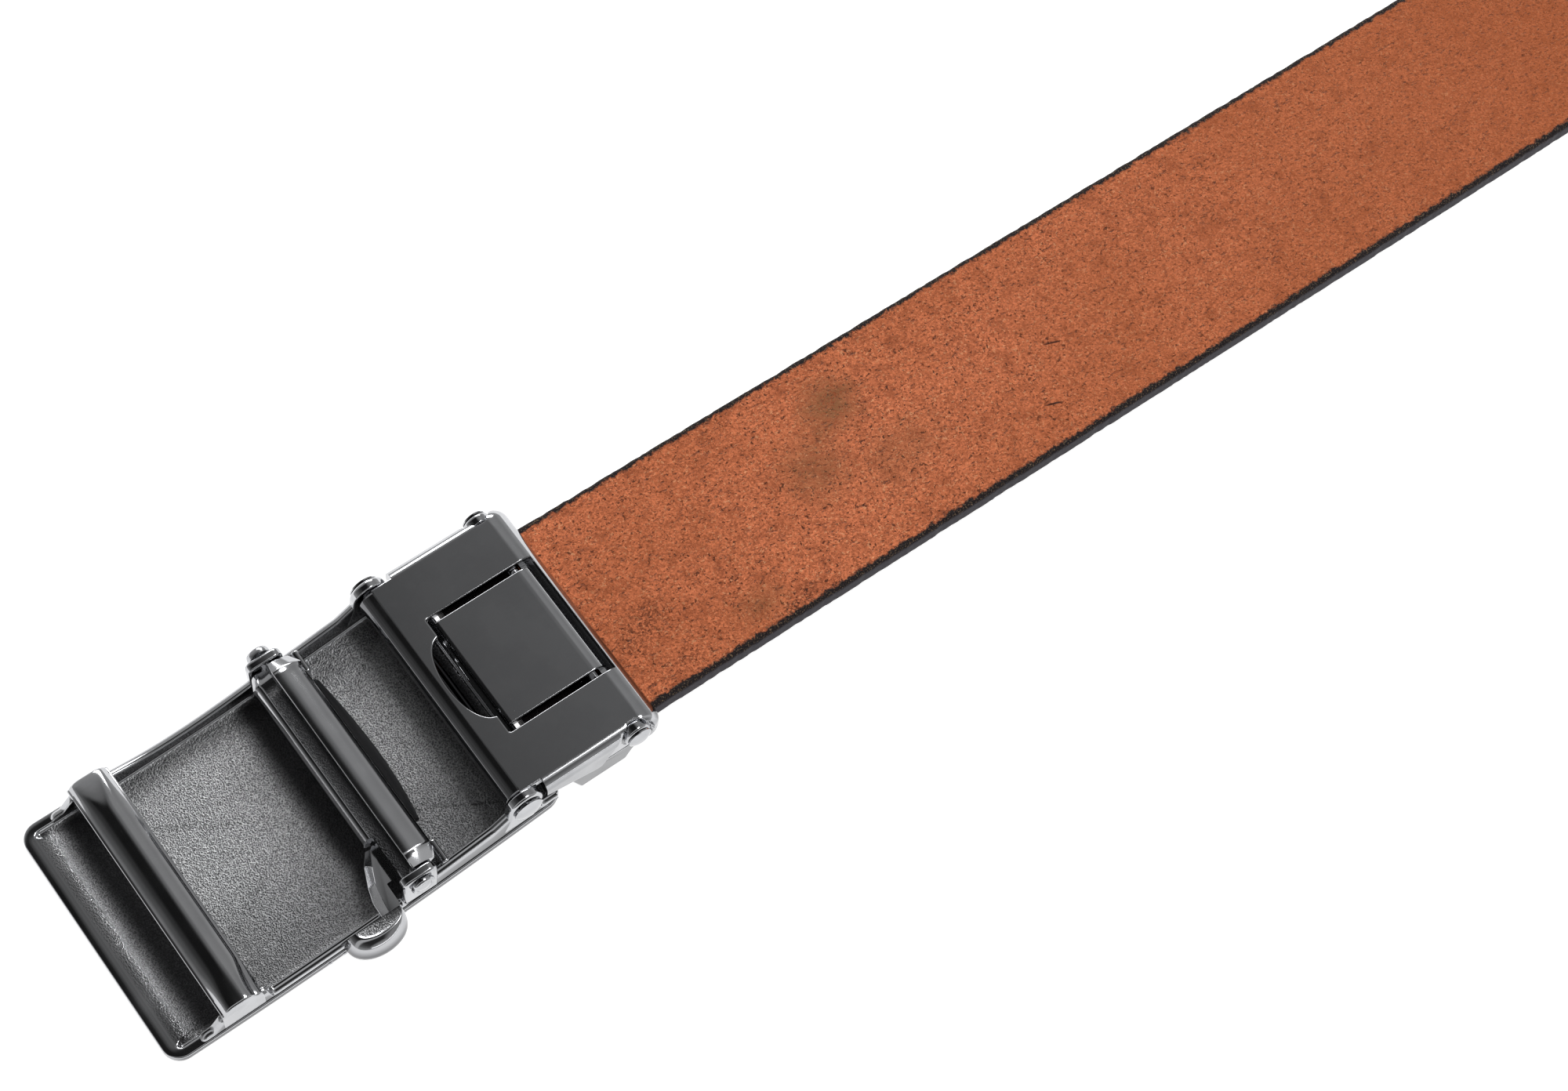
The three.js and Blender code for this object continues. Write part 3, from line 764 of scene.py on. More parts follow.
@dataclass
class Strap:
    """Straight leather that slopes down from the clamp, lies flat at its end, and has a rounded tip."""

    start: float = 7.6
    tip: float = 238.0
    half_width: float = 17.5
    thickness: float = 3.4
    height_at_clamp: float = 5.2
    slope_from: float = 20.0
    touchdown: float = 205.0
    ease: float = 24.0
    edge_round: float = 0.55
    stations: int = 400
    across: int = 90

    def underside(self, x: Array) -> Array:
        """Height under the strap: a straight slope that eases out flat over the last millimetres.

        Within the ease e of the ground the slope falls off evenly, as slope a^2 / 2e, where a is how
        far ahead the ground is.

        Args:
            x: places along the belt.

        Returns:
            The heights.
        """
        slope = self.height_at_clamp / (self.touchdown - self.slope_from)
        ahead = self.touchdown + self.ease / 2 - x
        eased = slope * np.clip(ahead, 0, self.ease) ** 2 / (2 * self.ease)
        return np.where(ahead < self.ease, eased, slope * (self.touchdown - x))

    def surface(self) -> tuple[Surface, dict[str, Array]]:
        """The strap as one section carried along it.

        The section runs across the flesh side, round one edge, back underneath and round the other
        edge. It narrows at the tip as the root of w^2 - (x - centre)^2. The flesh side rises and
        falls a little with its nap, and its painted edges are a little uneven.

        Returns:
            The surface, and for each of its points the distance from the edge, and how far it is on
            the side face and underneath.
        """
        body = np.linspace(self.start, self.tip - self.half_width, self.stations)
        turn = np.linspace(0, np.pi / 2, 40)[1:]
        x = np.concatenate([body, self.tip - self.half_width + self.half_width * np.sin(turn)])[:-1]
        x = np.append(x, self.tip - 0.02)
        ahead = np.maximum(x - self.tip + self.half_width, 0)
        width = np.sqrt(np.maximum(self.half_width**2 - ahead**2, 0.01))
        top = np.linspace(1, -1, self.across)
        r, angle = self.edge_round, np.linspace(0, np.pi / 2, 6)
        edge = np.stack([-r * (1 - np.sin(angle)), -r * (1 - np.cos(angle))], -1)
        down = np.linspace(0, 1, 5)[1:-1, None] * [0, -(self.thickness - 2 * r)] + [0, -r]
        flank = np.vstack([edge, down, np.stack([edge[::-1, 0], -self.thickness - edge[::-1, 1]], -1)])
        # each point of the section is a share of the width, a distance outwards and a height
        flat, level_top = np.full(self.across, -r), np.zeros(self.across)
        share = np.concatenate([top, -np.ones(len(flank)), -top, np.ones(len(flank))])
        out = np.concatenate([flat, flank[:, 0], flat, flank[::-1, 0]])
        z = np.concatenate([level_top, flank[:, 1], level_top - self.thickness, flank[::-1, 1]])
        y = share[None] * np.maximum(width[:, None] + out[None], 0.0)
        level = self.underside(x)[:, None] + self.thickness + z[None]
        xx = np.broadcast_to(x[:, None], y.shape)
        on_top = np.arange(len(share)) < self.across
        relief = wandering(xx, y, 1.1, 3) * 0.022 + wandering(xx, y, 4.5, 8) * 0.03
        near_edge = smooth_step(self.half_width - np.abs(y), 0.3, 1.5)
        level = level + on_top[None] * relief * near_edge
        edge_y = np.sign(y) * 40
        rough_edge = wandering(xx, edge_y, 2.4, 5) * 0.05 + wandering(xx, edge_y, 9, 6) * 0.06
        clear_of_clamp = smooth_step(x, 24, 30)[:, None]
        y = y - np.sign(y) * np.abs(rough_edge) * (np.abs(share) > 0.99)[None] * clear_of_clamp
        beyond = np.maximum(xx - self.tip + self.half_width, 0)
        rim = np.maximum(self.half_width - np.hypot(beyond, y), 0)
        side = smooth_step(-z, 0.15, 0.6) * smooth_step(self.thickness + z, -0.01, 0.3)
        under = smooth_step(-z, self.thickness / 2 + 1.0, self.thickness - 0.05)
        values = {"rim": rim.ravel(), "side": np.broadcast_to(side, xx.shape).ravel(),
                  "under": np.broadcast_to(under, xx.shape).ravel()}
        return grid(np.stack([xx, y, level], -1)), values

    def build(self, shop: Workshop) -> None:
        """Makes the strap."""
        surface, values = self.surface()
        shop.piece("strap_leather", surface, Body.STRAP, shop.leather, ("strap",), 60, values)


@dataclass
class FacePlate:
    """The shallow tray, bent to an arc, with a polished face below and a pebbled floor above."""

    left: float = -59.3
    right: float = 6.5
    half_width: float = 20.9
    corner: float = 2.8
    bend_radius: float = 339.0
    lowest_x: float = -57.7
    rows: int = 26

    def bend(self, x: Array | float) -> Array:
        """Height of the plate's underside: the arc R - sqrt(R^2 - (x - lowest)^2)."""
        return self.bend_radius - np.sqrt(self.bend_radius**2 - (np.asarray(x, float) - self.lowest_x) ** 2)

    def surface(self) -> Surface:
        """The tray as a profile carried round its outline.

        The profile goes from the middle of the face out to the edge, over the rim, down the step to
        the floor and back to the middle. Each of its points is a share of the way from the middle, an
        inset from the outline and a height over the bent face. On the left the floor rises to the
        rim in a slow ramp, and on the long sides in a step.

        Returns:
            The closed tray, with grain on its floor and painted shade on its edge and floor.
        """
        corners = [(self.left, -self.half_width), (self.right, -self.half_width),
                   (self.right, self.half_width), (self.left, self.half_width)]
        outline = respaced(rounded(np.array(corners), self.corner, 12), 480)
        middle = np.array([(self.left + self.right) / 2, 0.0])
        edge_t = np.linspace(0, np.pi / 2, 5)
        face = [(s, 0.5, 0.0, 0.0, 0.0) for s in np.linspace(0.02, 1, self.rows)[:-1]]
        lip = [(1, 0.5 * (1 - math.sin(t)), 0.5 * (1 - math.cos(t)), 0.5 * (1 - math.cos(t)), 0)
               for t in edge_t]
        rim = [(1, 0.28 * (1 - math.cos(t)), 1.32 + 0.28 * math.sin(t), 1.32 + 0.28 * math.sin(t), 0)
               for t in edge_t]
        # share, inset, height with a step, height with a ramp, grain
        step = [(1, 0.8, 1.6, 1.6, 0), (1, 1.25, 1.6, 1.57, 0), (1, 1.45, 1.57, 1.55, 0),
                (1, 1.6, 1.45, 1.54, 0), (1, 1.7, 1.22, 1.53, 0), (1, 1.85, 1.12, 1.515, 0.1),
                (1, 2.1, 1.1, 1.49, 0.7), (1, 2.7, 1.1, 1.44, 1), (1, 3.4, 1.1, 1.375, 1),
                (1, 4.2, 1.1, 1.305, 1), (1, 5.2, 1.1, 1.22, 1)]
        floor = [(s, 5.2, 1.1, 1.1, 1) for s in np.linspace(1, 0.02, self.rows)[1:]]
        table = np.array(face + lip + rim + step + floor)
        plan = np.stack([middle + (inset(outline, row[1]) - middle) * row[0] for row in table])
        ramp = smooth_step(-outline[:, 0], -self.left - 2.2, -self.left - 0.2)[None, :]
        height = table[:, 2:3] * (1 - ramp) + table[:, 3:4] * ramp
        inner = (table[:, 4:5] > 0) & (table[:, 1:2] > 5)
        # right of the bend the floor is level, and left of it it rises at half a millimetre in 5.6
        bend_x, bend_sharpness = -52.8, 2
        slope = np.logaddexp(0, (bend_x - plan[..., 0]) * bend_sharpness) / bend_sharpness * 0.5 / 5.6
        height = height * ~inner + inner * (1.1 + slope)
        z = self.bend(plan[..., 0]) + height
        fade = smooth_step(plan[..., 0], self.left + 2.0, self.left + 6.5) * 0.85 + 0.15
        # painted shade on the lip and rim rows of the tray's edge, less on the left ramp, and painted shadow on the
        # floor
        beside = np.zeros((len(table), 1))
        beside[len(face) - 1:len(face) + len(lip) + 1] = 0.8
        painted_shade_amount = self.painted_shade_amount(plan[..., 0], plan[..., 1])
        shade = np.maximum(beside * (1 - 0.6 * ramp), painted_shade_amount * table[:, 4:5] * 0.93)
        return grid(carried(plan, z, Axis.UP)).with_grain(table[:, 4:5] * fade).with_shade(shade)

    def painted_shade_amount(self, x: Array, y: Array) -> Array:
        """Painted shadow on the floor: most beside the bar, the pawl, the knuckle and the rails, and some towards the
        near side.

        Args:
            x: places along the belt.
            y: places across it.

        Returns:
            The darkness, from 0 to 1.
        """
        return np.maximum.reduce([
            smooth_step(-np.abs(x + 48.6), -8.5, -3.5) * (x < -47),
            smooth_step(x, -5.6, 0.2),
            smooth_step(-np.abs(x + 19.5), -7.5, -3.0) * (x < -19),
            smooth_step(np.abs(y), 17.4, 19.2) * 0.7,
            smooth_step(-y, -2, 18) * 0.55])

    def nubs(self) -> Surface:
        """Two small plating marks on the near edge.

        Returns:
            Both marks.
        """
        marks = []
        for x in (-33.6, -31.2):
            corners = np.array([(x - 0.35, -0.3), (x + 0.35, -0.3), (x + 0.35, 0.35), (x - 0.35, 0.35)])
            outline = rounded(corners + [0, float(self.bend(x)) + 0.95], 0.2)
            edge = -self.half_width
            marks.append(prism(outline, Axis.ACROSS, edge - 0.16, edge + 0.3, 0.1, 0.05))
        return joined(*marks)

    def build(self, shop: Workshop) -> None:
        """Makes the tray."""
        tray = joined(self.surface(), self.nubs())
        shop.piece("face_plate_tray", tray, Body.BUCKLE, shop.sanded, ("face_plate",))


@dataclass
class BuckleFrame:
    """The rails, the bridge bar, the ears and the lugs that stand on the plate."""

    plate: FacePlate
    outer: float = 20.6
    inner: float = 19.2
    rail_left: float = -54.2
    rail_right: float = 5.4
    bar_left: float = -50.6
    bar_right: float = -44.0
    bar_crown: float = 8.0
    bar_edge: float = 6.6
    pawl_axis: float = -17.9
    hinge_height: float = 11.6
    ear_top: float = 11.3
    ear_half: float = 2.85
    hinge_radius: float = 2.9
    seat_rise: float = 1.42

    def rail_rise(self, x: Array, side: Side) -> Array:
        """Height of a rail's top over the plate's face.

        It goes through the foot, the shoulder at the bar, the scallop, the pawl's ear and the peak by
        the hinge, evened out over half a millimetre. The near rail is cut down for the lever.

        Args:
            x: places along the belt.
            side: which rail.

        Returns:
            The heights.
        """
        ear = self.pawl_axis - self.ear_half
        middle = (self.bar_right + ear) / 2
        share = np.linspace(-1, 1, 25)
        scallop_x = middle + share * (ear - self.bar_right) / 2
        scallop = 3.4 + (np.where(share < 0, 4.6, 4.2) - 3.4) * share**2
        places = np.concatenate([[self.rail_left, -53.9, -53.2, -52.4, self.bar_left], scallop_x,
                                 [(self.pawl_axis + self.ear_half - 7.5) / 4, -2.5, 1.45, 2.9, self.rail_right]])
        rises = np.concatenate([[1.7, 2.25, 2.55, 2.5, 4.6], scallop, [5.2, 6.6, 5.2, 2.4, 2.1]])
        rise = np.interp(x, places, rises)
        if side is Side.NEAR:
            outside = np.maximum(np.maximum(-42.6 - x, x + 20.8), 0)
            rise = np.minimum(rise, 2.3 + outside / 1.1 * 4)
        kernel = np.exp(-np.linspace(-2, 2, 9) ** 2)
        padded = np.pad(rise, 4, mode="edge")
        return np.convolve(padded, kernel / kernel.sum(), "valid")

    def rail(self, side: Side) -> Surface:
        """A rail as a section carried along its curved top.

        The section is closed: up the inner wall, over a top that falls away outwards, and down the
        outer wall. Only its top follows the rise, and the rest is held over its seat.

        Args:
            side: which rail.

        Returns:
            The closed rail.
        """
        x = np.linspace(self.rail_left, self.rail_right, 420)
        seat = self.plate.bend(x) + self.seat_rise
        top = self.plate.bend(x) + self.rail_rise(x, side)
        # distance from the inner wall, depth under the top, and painted shade there, most on the outer wall
        section = np.array([
            (0, 9, 0.75), (0, 0.42, 0.5), (0.03, 0.2, 0), (0.11, 0.07, 0), (0.24, 0.0, 0), (0.5, 0.03, 0),
            (0.8, 0.13, 0), (1.05, 0.30, 0), (1.22, 0.5, 0), (1.34, 0.75, 0),
            (self.outer - self.inner, 1.05, 0.45), (self.outer - self.inner, 9, 0.85)])
        level = np.maximum(top[:, None] - section[:, 1], seat[:, None])
        level[:, 0], level[:, -1] = seat, seat
        y = side.value * (self.inner + section[:, 0])
        points = np.stack([np.broadcast_to(x[:, None], level.shape), np.broadcast_to(y, level.shape), level], -1)
        return grid(points).with_shade(np.broadcast_to(section[:, 2], level.shape))

    def bar(self) -> Surface:
        """The bridge bar with its two legs, as one section carried across the belt.

        Its top is crowned as edge + crown (1 - |s|^p), where s goes from -1 to 1 over its length. The
        power p grows near the legs, so that the top squares off there. Its underside drops to the
        plate inside each leg.

        Returns:
            The closed bar.
        """
        end, end_round, left_round = self.outer + 0.03, 0.45, 0.32
        ends = end - end_round * (1 - np.cos(np.linspace(0, np.pi / 2, 6)[::-1]))
        beside_leg = self.inner + np.array([-0.5, -0.25, -0.08, 0, 0.01, 0.4])
        stations = np.concatenate([np.linspace(0, 15.5, 60), [15.9, 16.4, 17, 17.6, 18.2, 18.8], beside_leg, ends])
        half_y = np.unique(np.round(stations, 4))
        y = np.concatenate([-half_y[::-1], half_y[1:]])
        far_out = np.abs(y)
        corner_t = np.linspace(0, np.pi / 2, 7)
        share = np.linspace(1, -1, 41)
        power = 2.2 + 1.9 * smooth_step(far_out, 13.5, self.outer)
        past_end = np.maximum(far_out - (end - end_round), 0) / end_round
        fall = end_round * (1 - np.sqrt(np.maximum(1 - past_end**2, 0)))
        fall += 0.6 * np.clip((y - 13.0) / 7.6, 0, 1) ** 2 + 0.16 * np.clip((-y - 17.6) / 3, 0, 1) ** 2
        crown = self.bar_crown - self.bar_edge - 0.1
        top = self.bar_edge + 0.1 + crown * (1 - np.abs(share[None]) ** power[:, None]) - fall[:, None]
        corner = (0.32 + 0.75 * smooth_step(-y, 13.5, 19.5))[:, None]
        low_x, high_x = self.bar_left + left_round, self.bar_right - corner
        top_x = (low_x + high_x) / 2 + share[None] * (high_x - low_x) / 2
        floor = np.interp(far_out, [0, self.inner - 0.5, self.inner - 0.08, self.inner, 30],
                          [6.0, 6.0, 5.6, 1.0, 1.0])
        floor = np.where(far_out >= self.inner, float(self.plate.bend(self.bar_left)) + self.seat_rise, floor)
        left_x = self.bar_left + left_round - left_round * np.sin(corner_t)
        right_x = high_x + corner * np.sin(corner_t)[None]
        left_z = top[:, -1:] - left_round * (1 - np.cos(corner_t))[None]
        right_z = top[:, :1] - corner * (1 - np.cos(corner_t))[None]
        foot_x = np.array([self.bar_left, self.bar_left + 0.25, self.bar_right - 0.25, self.bar_right])
        low = np.stack([floor + 0.25, floor, floor, floor + 0.25], -1)
        columns_x = np.hstack([top_x, np.broadcast_to(left_x, left_z.shape),
                               np.broadcast_to(foot_x, low.shape), right_x[:, ::-1]])
        z = np.hstack([top, left_z, low, right_z[:, ::-1]])
        points = np.stack([np.broadcast_to(columns_x, z.shape), np.broadcast_to(y[:, None], z.shape), z], -1)
        return grid(points)

    def pawl_ear(self, side: Side) -> Surface:
        """The ear at one end of the pawl's pin, rounded at its top.

        Args:
            side: which side of the belt.

        Returns:
            The closed ear.
        """
        left, right = self.pawl_axis - self.ear_half, self.pawl_axis + self.ear_half
        foot = float(self.plate.bend(self.pawl_axis)) + 1.7
        outline = rounded(np.array([(left, foot), (right, foot), (right, self.ear_top), (left, self.ear_top)]),
                          np.array([0.3, 0.3, 1.25, 1.25]), 8)
        return self.side_plate(outline, side, 0.3, 0.5)

    def hinge_ear(self, side: Side) -> Surface:
        """The round ear at one end of the hinge pin, blended down into the rail.

        Args:
            side: which side of the belt.

        Returns:
            The closed ear.
        """
        foot = float(self.plate.bend(0)) + 1.7
        ring = arc((0, self.hinge_height), self.hinge_radius, -38, 176, 40)
        outline = np.vstack([[(-4.4, foot), (1.6, foot)], ring, [(-3.05, 10.4), (-3.5, 8.9)]])
        return self.side_plate(outline, side, 0.2, 0.55)

    def lug(self, side: Side) -> Surface:
        """The short lug beside the pawl.

        Args:
            side: which side of the belt.

        Returns:
            The closed lug.
        """
        left, thickness, top = self.pawl_axis + 4.2, 1.1, 8.2
        foot = float(self.plate.bend(left)) + 1.2
        corners = [(left, foot), (left + thickness, foot), (left + thickness, top), (left, top)]
        outline = rounded(np.array(corners), np.array([0.1, 0.1, 0.35, 0.35]), 5)
        low, high = sorted((side.value * (self.inner - 3.4), side.value * (self.inner + 0.5)))
        return prism(outline, Axis.ACROSS, low, high, 0.25, 0.25)

    def side_plate(self, outline: Array, side: Side, inner_round: float, outer_round: float) -> Surface:
        """A plate between the rail's two walls, with its own rounding inside and outside.

        Args:
            outline: its outline seen from the side.
            side: which side of the belt.
            inner_round: the rounding towards the belt's middle.
            outer_round: the rounding on the outside.

        Returns:
            The closed plate.
        """
        low, high = sorted((side.value * (self.inner - 0.05), side.value * (self.outer + 0.05)))
        rounds = (inner_round, outer_round) if side is Side.FAR else (outer_round, inner_round)
        return prism(outline, Axis.ACROSS, low, high, *rounds, steps=6)

    def build(self, shop: Workshop) -> None:
        """Makes the frame's pieces.

        Args:
            shop: what makes them.
        """
        shop.piece("bridge_bar", self.bar(), Body.BUCKLE, shop.polished, ("buckle_frame",), 50)
        for side in Side:
            where = side.name.lower()
            shop.piece(f"rail_{where}", self.rail(side), Body.BUCKLE, shop.polished)
            ears = joined(self.pawl_ear(side), self.hinge_ear(side), self.lug(side))
            shop.piece(f"ears_{where}", ears, Body.BUCKLE, shop.polished)


@dataclass
class HeadedPin:
    """A pin across the belt with a turned head at each end."""

    name: str
    x: float
    z: float
    radius: float
    head: float
    far_height: float = 0.8
    ringed: bool = False
    head_at: float = 20.9
    near_height: float = 0.8

    def surface(self) -> Surface:
        """The whole pin as one turned profile, from the near head to the far head.

        A plain head is a dome, h (1 - (r / R)^2.6). A ringed head has a lens in its middle, a groove
        round it and a rounded rim.

        Returns:
            The closed pin.
        """
        if self.ringed:
            places = np.array([0, 0.2, 0.38, 0.5, 0.57, 0.63, 0.68, 0.74, 0.82, 0.9, 0.96, 1.0, 1.0])
            dome = np.array([1.0, 0.98, 0.92, 0.84, 0.72, 0.6, 0.6, 0.76, 0.8, 0.74, 0.58, 0.35, 0.0])
        else:
            share = np.linspace(0, 1, 18)
            places, dome = np.append(share, 1.0), np.append(1 - 0.72 * share**2.6, 0.0)
        heads = []
        for height, sign in ((self.near_height, -1), (self.far_height, 1)):
            radius = np.maximum(places, 0.02) * self.head
            heads.append(np.stack([radius, sign * (self.head_at + height * dome)], -1))
        neck = [(self.radius, -self.head_at + 0.02), (self.radius, self.head_at - 0.02)]
        return turned(np.vstack([heads[0], neck, heads[1][::-1]]), (self.x, self.z))

    def build(self, shop: Workshop, body: Body) -> None:
        """Makes the pin."""
        shop.piece(f"{self.name}_turned", self.surface(), body, shop.polished, (self.name,), 45)


@dataclass
class Pawl:
    """The cross casting with its lip, pebbled groove and hub, the lever with its tab, and the blade."""

    axis_x: float = -17.9
    half_width: float = 3.5
    half_length: float = 18.9
    hub_start: Pair = (-18.17, 11.39)
    crown_length: float = 4.49
    step_y: float = -11.4
    step_x: float = -19.95
    tab_y: float = -21.2
    tab_left: float = -31.3
    tab_right: float = -21.6
    tab_reach: float = 4.0
    blade_root: Pair = (-14.2, 8.5)
    blade_edge: Pair = (-11.9, 4.9)
    blade_half: float = 13.0
    blade_middle: float = 0.9
    blade_bow: float = 1.4
    blade_thickness: float = 1.0

    def hub(self) -> Array:
        """The hub's outline: a steep left side, a wide crown that leans to the right, and a lip.

        It is drawn as a path whose slope runs from -84 to 118 degrees, with a length for each step.

        Returns:
            Its points, from right to left.
        """
        tilt = np.radians([*np.linspace(-84, -6, 7)[:-1], *np.linspace(-6, 42, 25), *np.linspace(42, 118, 8)[1:]])
        crown_from, crown_steps = 6, 24
        crown_to = crown_from + crown_steps
        length = np.concatenate([0.3 * np.diff(tilt[:crown_from + 1]),
                                 np.full(crown_steps, self.crown_length / crown_steps),
                                 0.35 * np.diff(tilt[crown_to:])])
        halfway = (tilt[1:] + tilt[:-1]) / 2
        strides = length[:, None] * np.column_stack([np.cos(halfway), -np.sin(halfway)])
        path = np.vstack([np.zeros((1, 2)), np.cumsum(strides, 0)])
        return (np.array(self.hub_start) + path)[::-1]

    def casting(self) -> Surface:
        """The casting as a section carried across the belt.

        The section is a lip, a groove and the hub over a flat underside. Both ends taper towards the
        pin's axis over the last two millimetres, after a collar a little wider than the rest. On the
        near side it steps in beside the lever's arm.

        Returns:
            The closed casting, with grain and painted shade in its groove.
        """
        left, right = self.axis_x - self.half_width, self.axis_x + self.half_width
        hub = self.hub()
        # X, Z, grain and painted shade of the groove
        web = np.array([(-18.28, 10.42, 0.6, 0.97), (-18.5, 10.36, 1, 0.96), (-19.1, 10.2, 1, 0.93),
                        (-19.7, 10.06, 1, 0.9), (-20.12, 9.98, 0.8, 0.8)])
        lip = np.array([(-20.2, 10.12), (-20.3, 10.34), (-20.45, 10.38), (-20.72, 10.28), (-20.97, 10.07),
                        (-21.18, 9.76), (-21.32, 9.4), (left, 9.0)])
        foot = np.array([(left, 7.7), (left + 0.25, 7.4), (right - 0.25, 7.4), (right, 7.7), (right, 9.3),
                         (right - 0.12, 9.62)])
        section = np.vstack([hub, web[:, :2], lip, foot])
        clean = np.zeros((len(lip) + len(foot), 2))
        grain, painted_shade_amount = np.vstack([np.zeros((len(hub), 2)), web[:, 2:], clean]).T
        end = self.half_length
        near = np.array([-end, -end + 0.12, -17.6, -16.75, -16.6, -16.45, -16.3])
        step = np.array([self.step_y - 0.05, self.step_y + 0.05, self.step_y + 0.12])
        far = np.array([16.6, 16.75, 16.9, 17.0, 17.3, end - 0.12, end])
        y = np.concatenate([near, np.linspace(-16, -12, 9), step, np.linspace(-11, 16.2, 46), far])
        scale = np.interp(np.abs(y), [0, 16.5, 16.8, 17.0, end - 0.12, end], [1, 1, 1.05, 1.05, 0.8, 0.72])
        centre = np.array([self.axis_x, 8.9])
        plan = centre + (section[None] - centre) * scale[:, None, None]
        beside = (y < self.step_y)[:, None] & (plan[..., 0] < self.step_x)
        plan[..., 0] = np.where(beside, self.step_x, plan[..., 0])
        fade = smooth_step(-y, -16.2, -14.0)[:, None]
        return grid(carried(plan, y, Axis.ACROSS)).with_grain(grain[None] * fade).with_shade(painted_shade_amount[None] * fade)

    def arm(self) -> Surface:
        """The crescent arm: an outline that leans inwards from its base to its top, rounded at the rim.

        Returns:
            The closed arm.
        """
        base = np.array([(-19.95, -11.15), (-21.5, -11.6), (-22.85, -13.4), (-24.1, -16.3), (-24.75, -18.6),
                         (-24.85, -21.3), (-21.7, -21.3), (-21.68, -17.5), (-18.9, -17.45), (-19.75, -15.9),
                         (-19.7, -12.0)])
        top = np.array([(-20.2, -11.5), (-20.75, -12.0), (-22.0, -14.4), (-23.0, -16.75), (-23.5, -19.05),
                        (-23.72, -21.3), (-21.8, -21.3), (-21.74, -17.6), (-19.1, -17.55), (-19.9, -15.95),
                        (-19.85, -12.2)])
        radius = np.array([0.3, 0.3, 2, 3, 3, 0.1, 0.05, 0.25, 0.25, 0.4, 0.3])
        low, high = rounded(base, radius, 6), rounded(top, radius * 0.8, 6)
        lean = np.array([0, 0, 0.0, 0.08, 0.9, 0.97, 1.0])[:, None, None]
        rows = low[None] * (1 - lean) + high[None] * lean
        rows[0] = inset(low, 0.12)
        rows = np.concatenate([rows, inset(high, 0.14)[None]])
        levels = np.array([6.4, 6.5, 6.85, 6.98, 7.85, 7.96, 8.0, 8.0])[:, None]
        dip = 0.1 * np.maximum(rows[..., 0] + 23.4, 0) * (levels > 7.5)
        return grid(carried(rows, levels - dip, Axis.UP))

    def tab(self) -> Surface:
        """The thumb tab: a D whose side flares out to its foot, with a rolled rim and a dished top.

        At inset d the D is x = middle + (half - d/2) cos t, y = edge - (reach - d) sin^0.8 t. Each row
        has its own inset and height.

        Returns:
            The closed tab.
        """
        # inset and height of each row
        rows = np.array([(0.15, 4.6), (0.02, 4.75), (0.0, 5.15), (0.06, 5.6), (0.2, 6.1), (0.43, 6.6),
                         (0.74, 7.1), (1.05, 7.45), (1.4, 7.72), (1.75, 7.9), (1.95, 7.94), (2.1, 7.9),
                         (2.25, 7.82), (2.5, 7.78)])
        angle = np.pi * (1 - np.linspace(0, 1, 61))
        d = rows[:, :1]
        left, right = self.tab_left + d, self.tab_right - 0.22 * d
        x = (left + right) / 2 + (right - left) / 2 * np.cos(angle)[None]
        y = self.tab_y - 0.12 * (d > 1.2) * (d - 1.2) - (self.tab_reach - d) * np.sin(angle)[None] ** 0.8
        grain = np.clip((d - 2.1) / 0.3, 0, 1) * 0.55
        # painted shade on the side's lower rows, which face the floor, and on the pebbled top
        shade = 0.72 * smooth_step(-rows[:, 1:], -7.0, -5.4) + grain
        shaped = grid(carried(np.stack([x, y], -1), rows[:, 1], Axis.UP))
        return shaped.with_grain(np.broadcast_to(grain, x.shape)).with_shade(np.broadcast_to(shade, x.shape))

    def blade(self) -> Surface:
        """The toothed blade: a slanting bar whose edge bows out in the middle, x - bow s^2 along it.

        Returns:
            The closed blade.
        """
        root, edge = np.array(self.blade_root), np.array(self.blade_edge)
        length = np.linalg.norm(edge - root)
        slope = (edge - root) / length
        across = np.array([-slope[1], slope[0]])
        # share of the thickness, and share of the way back from the edge
        flat = np.array([(0, 0.15), (0.15, 0), (0.85, 0), (1, 0.15), (1, 0.5), (1, 1), (0, 1)])
        ends = np.array([0, 0.05]) / self.blade_half
        share = np.concatenate([-1 + ends, np.linspace(-0.985, 0.985, 50), 1 - ends[::-1]])
        reach = length - self.blade_bow * share**2 / abs(slope[0])
        along = (1 - flat[:, 1])[None] * reach[:, None]
        plan = root + along[..., None] * slope + flat[:, 0][None, :, None] * self.blade_thickness * across
        return grid(carried(plan, self.blade_middle + share * self.blade_half, Axis.ACROSS))

    def build(self, shop: Workshop) -> None:
        """Makes the pawl's pieces.

        Args:
            shop: what makes them.
        """
        shop.piece("pawl_casting", self.casting(), Body.PAWL, shop.sanded, ("pawl_lever",), 40)
        shop.piece("lever_arm", self.arm(), Body.PAWL, shop.polished, (), 28)
        shop.piece("thumb_tab", self.tab(), Body.PAWL, shop.sanded, (), 50)
        shop.piece("blade_bowed", self.blade(), Body.PAWL, shop.black, ("tooth_blade",), 30)


@dataclass(frozen=True)
class Stretches:
    """How many points each stretch of half the window's rim has, from its right middle on."""

    up: int = 34
    lap: int = 25
    corner: int = 12
    far: int = 170
    bend: int = 10
    left: int = 10
    shoulder: int = 8
    notch: int = 60


